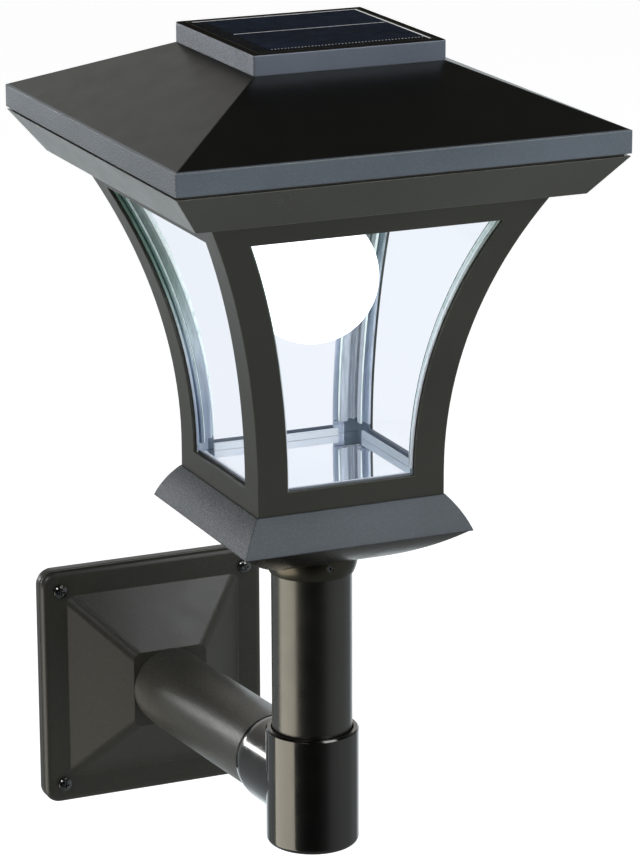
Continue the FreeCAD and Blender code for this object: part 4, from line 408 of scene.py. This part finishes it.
def glass_edge_glow_look():
    """Ground glass edge: pale, a little green, with fine lines along it, and a painted glow."""
    n = Nodes("glass_edge_glow_look")
    lines = n.streaks(900, 3, 0.6, (1.0, 1.0, 0.03))
    base = n.ramp(lines, [(0.3, (0.52, 0.66, 0.60)), (0.5, (0.80, 0.90, 0.87)), (0.7, (0.86, 0.94, 0.93))])
    # The emission is a painted glow of the edge.
    return n.finish(n.surface(base_color=base, roughness=0.3, normal=n.bump(lines, 0.2, 0.0002),
                              emission_color=base, emission_strength=0.45))


# Panel, board and cell

def solar_cells():
    """Dark cells with fine silver fingers, and black backing around them."""
    n = Nodes("solar_cells_look")
    axes = n.axes()
    x, y = axes["X"], axes["Y"]
    wafer = n.ramp(n.cells(140, output="Color"),
                   [(0.0, (0.004, 0.006, 0.013)), (1.0, (0.006, 0.011, 0.024))])
    sheen = n.ramp(n.noise(30, 3), [(0.35, (0.003, 0.004, 0.008)), (0.75, (0.007, 0.013, 0.028))])
    cell = n.mix(0.5, wafer, sheen)
    fingers = n.stripes(x, FINGER_PITCH, FINGER_WIDTH)
    cell = n.mix(n.times(fingers, 0.18), cell, colour(104, 114, 130))
    inside = n.times(n.between(x, CELL_LEFT, CELL_RIGHT), n.between(y, CELL_FRONT, CELL_BACK))
    black = n.ramp(n.noise(900), [(0.3, (0.004, 0.004, 0.005)), (0.7, (0.010, 0.010, 0.011))])
    base = n.mix(inside, black, cell)
    rough = n.level(n.noise(200, 3), [(0.3, 0.42), (0.75, 0.55)])
    normal = n.bump(n.noise(350), 0.04, 0.0002)
    return n.finish(n.surface(base_color=base, roughness=rough, normal=normal, specular_ior_level=0.001))


def ribbon_look():
    """Tinned ribbon of the busbar and its solder ticks."""
    n = Nodes("ribbon_look")
    base = n.ramp(n.noise(500, 3), [(0.3, (0.42, 0.44, 0.46)), (0.7, (0.66, 0.67, 0.68))])
    return n.finish(n.surface(base_color=base, metallic=0.3, roughness=0.4,
                              normal=n.bump(n.noise(900), 0.2, 0.0001)))


def margin_look():
    """Pale printed margin of the panel."""
    n = Nodes("margin_look")
    base = n.ramp(n.noise(300, 3), [(0.3, (0.80, 0.81, 0.82)), (0.7, (0.92, 0.92, 0.92))])
    return n.finish(n.surface(base_color=base, roughness=0.35, normal=n.bump(n.noise(900), 0.1, 0.0001)))


def circuit_board():
    """Green board with fine tracks and pads."""
    n = Nodes("board_green_look")
    axes = n.axes()
    tracks = n.math("MAXIMUM", n.stripes(axes["X"], 0.0031, 0.0006), n.stripes(axes["Y"], 0.0043, 0.0005))
    tracks = n.times(tracks, n.level(n.noise(120), [(0.48, 0.0), (0.52, 1.0)]))
    base = n.mix(tracks, colour(20, 92, 48), colour(44, 130, 74))
    pads = n.level(n.cells(420), [(0.12, 1.0), (0.16, 0.0)])
    base = n.mix(pads, base, colour(200, 200, 190))
    normal = n.bump(tracks, 0.2, 0.0001, n.soft_edges(0.0003))
    return n.finish(n.surface(base_color=base, roughness=0.35, normal=normal))


def cell_sleeve():
    """Blue shrink sleeve with bright ends and shrink lines."""
    n = Nodes("cell_wrap_look")
    y = n.axes()["Y"]
    ends = n.math("ADD", n.below(y, AXIS_Y - SLEEVE_HALF), n.above(y, AXIS_Y + SLEEVE_HALF), clamp=True)
    wrap = n.ramp(n.noise(40, 3), [(0.3, (0.02, 0.10, 0.26)), (0.75, (0.035, 0.15, 0.36))])
    base = n.mix(ends, wrap, colour(190, 188, 182))
    normal = n.bump(n.streaks(300, 2, 0.5, (0.1, 1.0, 0.1)), 0.15, 0.0002, n.soft_edges(0.0004))
    return n.finish(n.surface(base_color=base, metallic=ends, roughness=0.28, normal=normal))


# Finishes of the record's slots

MATERIALS = {
    "plate_paint": paint("plate_paint_look", colour(44, 43, 37), rough=0.34, flake=0.03, wave=0.05, edge=0.5),
    "arm_paint": paint("arm_paint_look", colour(74, 73, 66), rough=0.35, grain=0.22, flake=0.2,
                       metallic=0.5, level=1.0),
    "fitting_paint": polished("fitting_paint_look", colour(67, 65, 60), rough=0.16, coat=0.09),
    "post_paint": polished("post_paint_look", colour(74, 72, 66), rough=0.3, coat=0.24),
    "cup_paint": polished("cup_paint_look", colour(74, 70, 60), rough=0.26, lacquer=0.1),
    # Skirt: painted glints and painted shade on its left faces, and a dark line on its edges.
    "skirt_paint": paint("skirt_paint_look", colour(80, 85, 90), rough=0.42, grain=0.45, flake=0.07,
                         metallic=0.4, edge=0.95, painted_glints=0.35, left=0.5, rim=(14, 15, 16)),
    "frame_paint": paint("frame_paint_look", colour(50, 50, 44), rough=0.36, grain=0.04, edge=0.6),
    # Roof: slopes painted dark as painted shade, left faces with painted glints and painted shade, edges with
    # a painted highlight.
    "roof_paint": paint("roof_paint_look", colour(102, 110, 119), rough=0.32, grain=0.1, flake=0.12,
                        metallic=0.5, wave=0.012, edge=0.8, high=(SLOPE_LOW, colour(12, 12, 10)),
                        painted_glints=0.5, left=0.76),
    "tray_paint": paint("tray_paint_look", colour(52, 52, 47), rough=0.3, grain=0.05, flake=0.03,
                        edge=0.9, level=1.0),
    # Panel frame: upward and inner faces painted dark as painted shade, left faces with painted glints and
    # painted shade.
    "panel_frame_paint": paint("panel_frame_paint_look", colour(116, 123, 135), rough=0.38, grain=0.1,
                               flake=0.12, metallic=0.5, edge=0.8, dark=PANEL_FRAME_HALF - 0.0008,
                               painted_glints=0.45, left=0.5),
    "window_glass": window_glass(),
    "silver_trim": trim(),
    # Clips: the left side painted paler, which is painted light.
    "clip_plastic": moulded("clip_plastic_look", colour(124, 138, 148), rough=0.5,
                            left_light_tone=colour(214, 222, 230)),
    "mirror_floor": mirror(),
    "solar_cells": solar_cells(),
    "seal_rubber": moulded("seal_rubber_look", colour(34, 36, 37), rough=0.62, grain=0.2, speck=0.05,
                           sill_tone=colour(120, 127, 134)),
    "black_steel": polished("black_steel_look", colour(98, 98, 97), rough=0.1, edge=0.2, coat=0.05),
    "zinc_steel": bare_metal("zinc_steel_look", colour(190, 188, 178), rough=0.34, streak=(1, 1, 1),
                             scale=260),
    "plug_steel": bare_metal("plug_steel_look", colour(150, 150, 150), rough=0.38, streak=(1, 0.05, 1)),
    "globe_white": globe_white(),
    "neck_white": moulded("neck_white_look", colour(238, 238, 234), rough=0.3, speck=0.02, coat=0.2),
    "cap_metal": bare_metal("cap_metal_look", colour(205, 204, 198), rough=0.24),
    "led_board_white": moulded("led_board_white_look", colour(236, 236, 226), rough=0.5, speck=0.03),
    "holder_plastic": moulded("holder_plastic_look", colour(228, 226, 216), rough=0.35, speck=0.04,
                              coat=0.15),
    "board_green": circuit_board(),
    "cell_wrap": cell_sleeve(),
    "contact_metal": bare_metal("contact_metal_look", colour(208, 203, 184), rough=0.28, streak=(1, 1, 1)),
    "hatch_paint": moulded("hatch_paint_look", colour(48, 49, 48), rough=0.5, grain=0.3),
    "switch_plastic": moulded("switch_plastic_look", colour(36, 36, 37), rough=0.5, grain=0.25),
    "button_rubber": moulded("button_rubber_look", colour(70, 70, 70), rough=0.6, grain=0.3, speck=0.15),
    "wire_insulation": moulded("wire_insulation_look", colour(150, 30, 28), rough=0.42, speck=0.05),
}
RIBBON = ribbon_look()
MARGIN = margin_look()
GLASS_EDGE_GLOW = glass_edge_glow_look()

for part in frame["record"]["subparts"]:
    node = NODES[part["node"]]
    node.data.materials.clear()
    node.data.materials.append(MATERIALS[part["material_slot"]])


# Mesh pieces

def piece(name, points, faces, body, slot, smooth=False, look=None):
    """A mesh piece that rides on a body. It has a look of its own, or else the finish of its slot."""
    mesh = bpy.data.meshes.new(name)
    mesh.from_pydata([tuple(point) for point in points], [], faces)
    mesh.validate()
    mesh.update()
    for face in mesh.polygons:
        face.use_smooth = smooth
    mesh.materials.append(look or MATERIALS[slot])
    made = bpy.data.objects.new(name, mesh)
    bpy.context.scene.collection.objects.link(made)
    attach(made, body)


def on_axis(x, y, z):
    """A point given in millimetres about the post's axis and from the skirt's lower edge."""
    return Vector((x * MM, AXIS_Y + y * MM, SKIRT_Z + z * MM))


def turned_quarter(point, turns):
    """A point in millimetres turned about the lantern's axis by quarter turns."""
    x, y, z = point
    for _ in range(turns):
        x, y = -y, x
    return x, y, z


def swept_band(rows):
    """Points and faces of a band through rows of equal length, with closed ends."""
    points = [point for row in rows for point in row]
    size = len(rows[0])
    faces = []
    for step in range(len(rows) - 1):
        for index in range(size):
            following = (index + 1) % size
            faces.append((step * size + index, step * size + following,
                          (step + 1) * size + following, (step + 1) * size + index))
    faces.append(tuple(range(size - 1, -1, -1)))
    faces.append(tuple((len(rows) - 1) * size + index for index in range(size)))
    return points, faces


# The body's sizes in millimetres, with levels from the skirt's lower edge
BODY_HALF = 51.5
FLARE_LEVEL = 30.0
FLARE_RADIUS = 299.88
WALL = 1.6
POST_WIDTH = 16.5
SILL = 29.5
WINDOW_TOP = 166.5
SIDES = ("front", "right", "rear", "left")


def half_at(z, depth=0.0):
    """Half the body's width at a height, sunk in by a depth, in millimetres."""
    rise = max(z - FLARE_LEVEL, 0.0)
    return BODY_HALF + FLARE_RADIUS - math.sqrt((FLARE_RADIUS + depth) ** 2 - rise * rise)


# Strips beside the windows, in millimetres: levels, depths behind the frame's face, and widths
STRIP_STEPS = 28
SEAL_LEVELS = (SILL - 1.5, WINDOW_TOP + 1.5)
SEAL_DEPTHS = (WALL + 0.15, WALL + 0.9)
SEAL_HIDDEN, SEAL_SHOWN = 0.8, 0.35
EDGE_LEVELS = (SILL + 4.0, WINDOW_TOP - 1.0)
EDGE_DEPTHS, LINE_DEPTHS = (7.1, 7.5), (6.95, 7.05)
EDGE_HIDDEN, EDGE_SHOWN = 0.6, 0.1
LINE_SHOWN, LINE_WIDTH = 0.2, 0.3
EDGE_SPREAD = 2.6


def seal_span(edge, share):
    """The black seal line: the same sliver beside the frame at every share of the height."""
    return edge + SEAL_HIDDEN, edge - SEAL_SHOWN


def spread(share):
    """How much wider the glass edge shows at a share of the height."""
    return EDGE_SPREAD * share ** 1.4


def edge_span(edge, share):
    """The glass's ground edge, which reaches from behind the frame."""
    return edge + EDGE_HIDDEN, edge - EDGE_SHOWN - spread(share)


def line_span(edge, share):
    """The thin dark line in front of the ground edge's rim."""
    near = edge - LINE_SHOWN - spread(share)
    return near + LINE_WIDTH, near


def window_strip(name, slot, face, side, levels, depths, span, look=None):
    """A thin strip up one side of a window. Its span gives how far out and in it lies at each height."""
    low, high = levels
    rows = []
    for step in range(STRIP_STEPS + 1):
        share = step / STRIP_STEPS
        z = low + (high - low) * share
        far, near = span(half_at(z) - POST_WIDTH, share)
        outer, inner = [half_at(z, depth) for depth in depths]
        corners = [(far, -outer), (near, -outer), (near, -inner), (far, -inner)]
        rows.append([on_axis(*turned_quarter((side * x, y, z), face)) for x, y in corners])
    if side < 0:
        rows = [row[::-1] for row in rows]
    points, faces = swept_band(rows)
    full_name = "%s_%s_%s" % (name, SIDES[face], "b" if side > 0 else "a")
    piece(full_name, points, faces, "lantern", slot, smooth=True, look=look)


for face in range(4):
    for side in (-1, 1):
        window_strip("window_seal", "seal_rubber", face, side, SEAL_LEVELS, SEAL_DEPTHS, seal_span)


# Feet of the corner retainers, in millimetres
CLIP_LOW, CLIP_HIGH = 25.75, 32.5
CLIP_LEG_END = 39.35
TAB_END = 33.9
TAB_OUTER, TAB_INNER = BODY_HALF - 1.95, BODY_HALF - 3.05
TAB_CHAMFER = 0.2


def retainer_tab(turns):
    """The pale foot of a corner retainer, beside the shorter leg of the corner clip."""
    cut = TAB_CHAMFER
    outline = [(-TAB_OUTER + cut, CLIP_LOW), (-TAB_INNER - cut, CLIP_LOW), (-TAB_INNER, CLIP_LOW + cut),
               (-TAB_INNER, CLIP_HIGH - cut), (-TAB_INNER - cut, CLIP_HIGH), (-TAB_OUTER + cut, CLIP_HIGH),
               (-TAB_OUTER, CLIP_HIGH - cut), (-TAB_OUTER, CLIP_LOW + cut)]
    rows = [[on_axis(*turned_quarter((x, y, z), turns)) for y, z in outline]
            for x in (-CLIP_LEG_END, -TAB_END)]
    points, faces = swept_band(rows)
    piece("retainer_tab_%d" % turns, points, faces, "lantern", "silver_trim")


for turns in range(4):
    retainer_tab(turns)


# Threads of the wall screws, in millimetres
SCREW_PLACES = [(-57, -59), (-57, 59), (57, -59), (57, 59)]
THREAD_FOOT, THREAD_ROOT, THREAD_CREST = 1.98, 2.1, 2.4
THREAD_PITCH = 1.6
THREAD_HALF, THREAD_TIP = THREAD_PITCH * 0.36, THREAD_PITCH * 0.09
THREAD_START, THREAD_LENGTH = 1.6, 13.8
THREAD_SEGMENTS = 20


def screw_thread(number, x, z):
    """A rounded thread ridge wound on a wall screw's shank, behind the wall plane. It fades at both ends."""
    rows = []
    count = int(THREAD_LENGTH / THREAD_PITCH * THREAD_SEGMENTS)
    for step in range(count + 1):
        angle = 2 * math.pi * step / THREAD_SEGMENTS
        along = THREAD_START + THREAD_LENGTH * step / count
        fade = min(1.0, step / THREAD_SEGMENTS, (count - step) / THREAD_SEGMENTS)
        peak = THREAD_ROOT + (THREAD_CREST - THREAD_ROOT) * fade
        profile = [(-THREAD_HALF, THREAD_FOOT), (-THREAD_TIP, peak), (THREAD_TIP, peak),
                   (THREAD_HALF, THREAD_FOOT)]
        rows.append([((x + radius * math.cos(angle)) * MM, (along + offset) * MM,
                      (z + radius * math.sin(angle)) * MM) for offset, radius in profile])
    points, faces = swept_band(rows)
    piece("wall_screw_thread_%d" % number, points, faces, "bracket", "black_steel", smooth=True)


for number, (x, z) in enumerate(SCREW_PLACES):
    screw_thread(number, x, z)

for face in range(4):
    for side in (-1, 1):
        window_strip("glass_edge", "silver_trim", face, side, EDGE_LEVELS, EDGE_DEPTHS, edge_span, GLASS_EDGE_GLOW)
        window_strip("glass_line", "seal_rubber", face, side, EDGE_LEVELS, LINE_DEPTHS, line_span)


# Printed and soldered parts of the panel, in millimetres about the axis
PRINT_STEPS = 12
PRINT_HEIGHT = 0.06
BUSBAR_LEFT, BUSBAR_RIGHT = -38.2, 44.8
BUSBAR_FRONT, BUSBAR_BACK = 5.8, 6.6
BUSBAR_HEIGHT, BUSBAR_BOW = 0.08, 0.6
MARGIN_LEFT, MARGIN_RIGHT, MARGIN_END = -44.5, 45.7, 46.7
MARGIN_FRONT, MARGIN_REAR, MARGIN_BACK = -44.0, 46.1, 46.9
TICK_Y = -39.4
TICK_FOOT, TICK_TOP = 0.34, 0.26
TICK_HEIGHT = 0.07
TICK_STRETCH = 1.3


def printed_strip(name, x0, x1, y0, y1, look, thickness=PRINT_HEIGHT, bow=0.0):
    """A thin printed or soldered strip on the panel, with a domed face where it has a bow."""
    profile = ((0.0, 0.0), (0.0, 1.0), (0.5, 1.0 + bow), (1.0, 1.0), (1.0, 0.0))
    long_x = (x1 - x0) > (y1 - y0)
    rows = []
    for step in range(PRINT_STEPS + 1):
        share = step / PRINT_STEPS
        row = []
        for across, rise in profile:
            shares = (share, across) if long_x else (across, share)
            row.append(on_axis(x0 + (x1 - x0) * shares[0], y0 + (y1 - y0) * shares[1],
                               PANEL_TOP + thickness * rise))
        rows.append(row if long_x else row[::-1])
    points, faces = swept_band(rows)
    piece(name, points, faces, "head", "solar_cells", look=look)


printed_strip("panel_busbar", BUSBAR_LEFT, BUSBAR_RIGHT, BUSBAR_FRONT, BUSBAR_BACK, RIBBON,
              BUSBAR_HEIGHT, BUSBAR_BOW)
printed_strip("panel_margin_right", MARGIN_RIGHT, MARGIN_END, MARGIN_FRONT, MARGIN_BACK, MARGIN)
printed_strip("panel_margin_rear", MARGIN_LEFT, MARGIN_RIGHT, MARGIN_REAR, MARGIN_BACK, MARGIN)


def finger_ticks():
    """Small solder ticks where the fingers meet the front edge of the cells."""
    points, faces = [], []
    pitch = FINGER_PITCH / MM
    first = math.ceil(CELL_LEFT / FINGER_PITCH)
    for number in range(int((CELL_RIGHT - CELL_LEFT) / FINGER_PITCH)):
        x = (first + number) * pitch + pitch / 2
        start = len(points)
        for level, half in ((0.0, TICK_FOOT), (TICK_HEIGHT, TICK_TOP)):
            for dx, dy in ((-1, -1), (1, -1), (1, 1), (-1, 1)):
                points.append(on_axis(x + dx * half, TICK_Y + dy * half * TICK_STRETCH, PANEL_TOP + level))
        faces.append(tuple(start + i for i in (4, 5, 6, 7)))
        faces.append(tuple(start + i for i in (3, 2, 1, 0)))
        for i in range(4):
            j = (i + 1) % 4
            faces.append((start + i, start + j, start + 4 + j, start + 4 + i))
    piece("panel_ticks", points, faces, "head", "solar_cells", look=RIBBON)


finger_ticks()


# Floor and backdrop

FLOOR_HALF, FLOOR_Z = 9.0, -0.34


def floor():
    """A pale plain floor below the lantern that stays white to the camera, and is open from below."""
    corners = ((-1, -1), (1, -1), (1, 1), (-1, 1))
    mesh = bpy.data.meshes.new("stage_floor")
    mesh.from_pydata([(x * FLOOR_HALF, y * FLOOR_HALF, FLOOR_Z) for x, y in corners], [], [(0, 1, 2, 3)])
    made = bpy.data.objects.new("stage_floor", mesh)
    bpy.context.scene.collection.objects.link(made)
    n = Nodes("stage_floor_look")
    path = n.add("LightPath")
    seen = n.math("ADD", path.outputs["Is Camera Ray"], path.outputs["Is Transmission Ray"], clamp=True)
    diffuse = n.add("BsdfDiffuse", {"Color": (0.86, 0.86, 0.86, 1)})
    glow = n.add("Emission", {"Color": WHITE, "Strength": n.times(seen, 0.6)})
    solid = n.add("AddShader", {0: diffuse.outputs[0], 1: glow.outputs[0]})
    clear = n.add("BsdfTransparent", {"Color": WHITE})
    passing = n.math("ADD", path.outputs["Is Glossy Ray"], path.outputs["Is Shadow Ray"], clamp=True)
    passing = n.math("MAXIMUM", passing, n.add("NewGeometry").outputs["Backfacing"])
    mesh.materials.append(n.finish(n.blend(passing, solid, clear)))


floor()

# The level way from the camera's side to what is behind the lantern
BEHIND = (0.40, 0.917, 0.0)


def backdrop():
    """White to camera and refracted rays, and a soft white light on the object.

    Glossy rays see white behind the lantern, a dim ceiling and a dark room in front of it.
    """
    n = Nodes("studio", world=True)
    path = n.add("LightPath")
    direction = n.add("TexCoord").outputs["Generated"]

    def halved(source):
        """From the range of -1 to 1 to the range of 0 to 1."""
        return n.add("Math", {0: source, 1: 0.5, 2: 0.5}, operation="MULTIPLY_ADD").outputs[0]

    def warm(value):
        return value * 0.94, value * 0.98, value

    upward = halved(n.add("SeparateXYZ", {0: direction}).outputs["Z"])
    ceiling = n.ramp(upward, [
        (0.02, warm(0.55)), (0.2, warm(0.95)), (0.36, warm(1.0)), (0.6, warm(1.0)), (0.64, (0.84, 0.8, 0.75)),
        (0.7, (0.63, 0.58, 0.52)), (0.76, (0.46, 0.42, 0.38)), (0.87, warm(0.03))])
    along = n.add("VectorMath", {0: direction, 1: BEHIND}, operation="DOT_PRODUCT").outputs["Value"]
    room = n.ramp(halved(along), [(place, warm(value)) for place, value in (
        (0.0, 0.02), (0.05, 0.04), (0.11, 0.1), (0.2, 0.3), (0.4, 0.4), (0.6, 0.36), (0.77, 0.36),
        (0.82, 0.22), (0.88, 0.4), (0.93, 0.95), (1.0, 1.0))])
    lit = n.add("Background", {"Color": WHITE, "Strength": 0.42})
    white = n.add("Background", {"Color": WHITE, "Strength": 1.0})
    glossy = n.add("Background", {"Color": n.tinted(ceiling, room), "Strength": 1.0})
    seen = n.blend(path.outputs["Is Glossy Ray"], lit, glossy)
    seen = n.blend(path.outputs["Is Transmission Ray"], seen, white)
    seen = n.blend(path.outputs["Is Camera Ray"], seen, white)
    bpy.context.scene.world = n.finish(seen)


backdrop()


# Lights

BODY_TARGET = Vector((0, AXIS_Y, SKIRT_Z + 0.08))
BASE_TARGET = Vector((0, AXIS_Y, 0.1))
POST_TARGET = Vector((0, AXIS_Y, 0.03))
PLATE_TARGET = Vector((0, -0.02, 0.0))
PLATE_TOP_TARGET = Vector((0, -0.02, 0.04))
PURE_WHITE = (1.0, 1.0, 1.0)


def softbox(name, place, width, height, power, tone, target=BODY_TARGET, glossy=True, diffuse=True):
    """A soft rectangular studio light that points at a target."""
    data = bpy.data.lights.new(name, "AREA")
    data.shape = "RECTANGLE"
    data.size = width
    data.size_y = height
    data.energy = power
    data.color = tone
    made = bpy.data.objects.new(name, data)
    made.location = place
    made.rotation_euler = (target - Vector(place)).to_track_quat("-Z", "Y").to_euler()
    bpy.context.scene.collection.objects.link(made)
    made.visible_camera = False
    made.visible_transmission = False
    made.visible_glossy = glossy
    made.visible_diffuse = diffuse


softbox("light_left", (-2.0, 0.05, -0.9), 2.3, 1.4, 26, (1.0, 0.94, 0.83), BASE_TARGET)
softbox("light_low_left", (-1.9, 0.9, -0.9), 1.2, 1.2, 9, (1.0, 0.97, 0.92), glossy=False)
softbox("light_rear_left", (-1.0, 1.72, 0.26), 0.9, 0.17, 4.8, (0.96, 0.98, 1.0), POST_TARGET)
softbox("light_front", (0.9, -2.6, 1.6), 1.2, 1.2, 14, (0.95, 0.98, 1.0))
softbox("light_right", (2.0, -1.5, 0.0), 1.4, 1.4, 12, (0.9, 0.97, 1.0), glossy=False)
softbox("light_low_front", (0.6, -2.0, -0.95), 1.6, 1.2, 14, (0.97, 1.0, 1.0), glossy=False)
softbox("light_top", (0.85, -1.1, 2.1), 0.8, 0.8, 10, (0.93, 0.97, 1.0), PLATE_TOP_TARGET)
softbox("light_spark", (-1.2, -0.9, 1.3), 0.5, 0.5, 5, PURE_WHITE, PLATE_TARGET)
softbox("light_glint", (-1.3, -1.6, 1.3), 0.5, 0.5, 6, PURE_WHITE, PLATE_TARGET, diffuse=False)


# Camera

CAMERA_PLACE = (-0.7590, -1.9914, 0.7625)
CAMERA_FORWARD = (0.38436, 0.88022, -0.27833)
CAMERA_ROLL = math.radians(-0.227)
SENSOR_WIDTH, FOCAL_LENGTH = 36.0, 161.45


def camera():
    """Camera at the photograph's place, looking down a little from the lantern's left."""
    forward = Vector(CAMERA_FORWARD).normalized()
    right = Vector((forward.y, -forward.x, 0)).normalized()
    up = right.cross(forward)
    turned_right = right * math.cos(CAMERA_ROLL) + up * math.sin(CAMERA_ROLL)
    turned_up = up * math.cos(CAMERA_ROLL) - right * math.sin(CAMERA_ROLL)
    data = bpy.data.cameras.new("camera")
    data.sensor_width = SENSOR_WIDTH
    data.lens = FOCAL_LENGTH
    data.clip_start = 0.05
    data.clip_end = 60
    made = bpy.data.objects.new("camera", data)
    made.matrix_world = Matrix.Translation(CAMERA_PLACE) @ Matrix(
        (turned_right, turned_up, -forward)).transposed().to_4x4()
    bpy.context.scene.collection.objects.link(made)
    bpy.context.scene.camera = made


camera()
bpy.context.scene.view_settings.view_transform = "Standard"
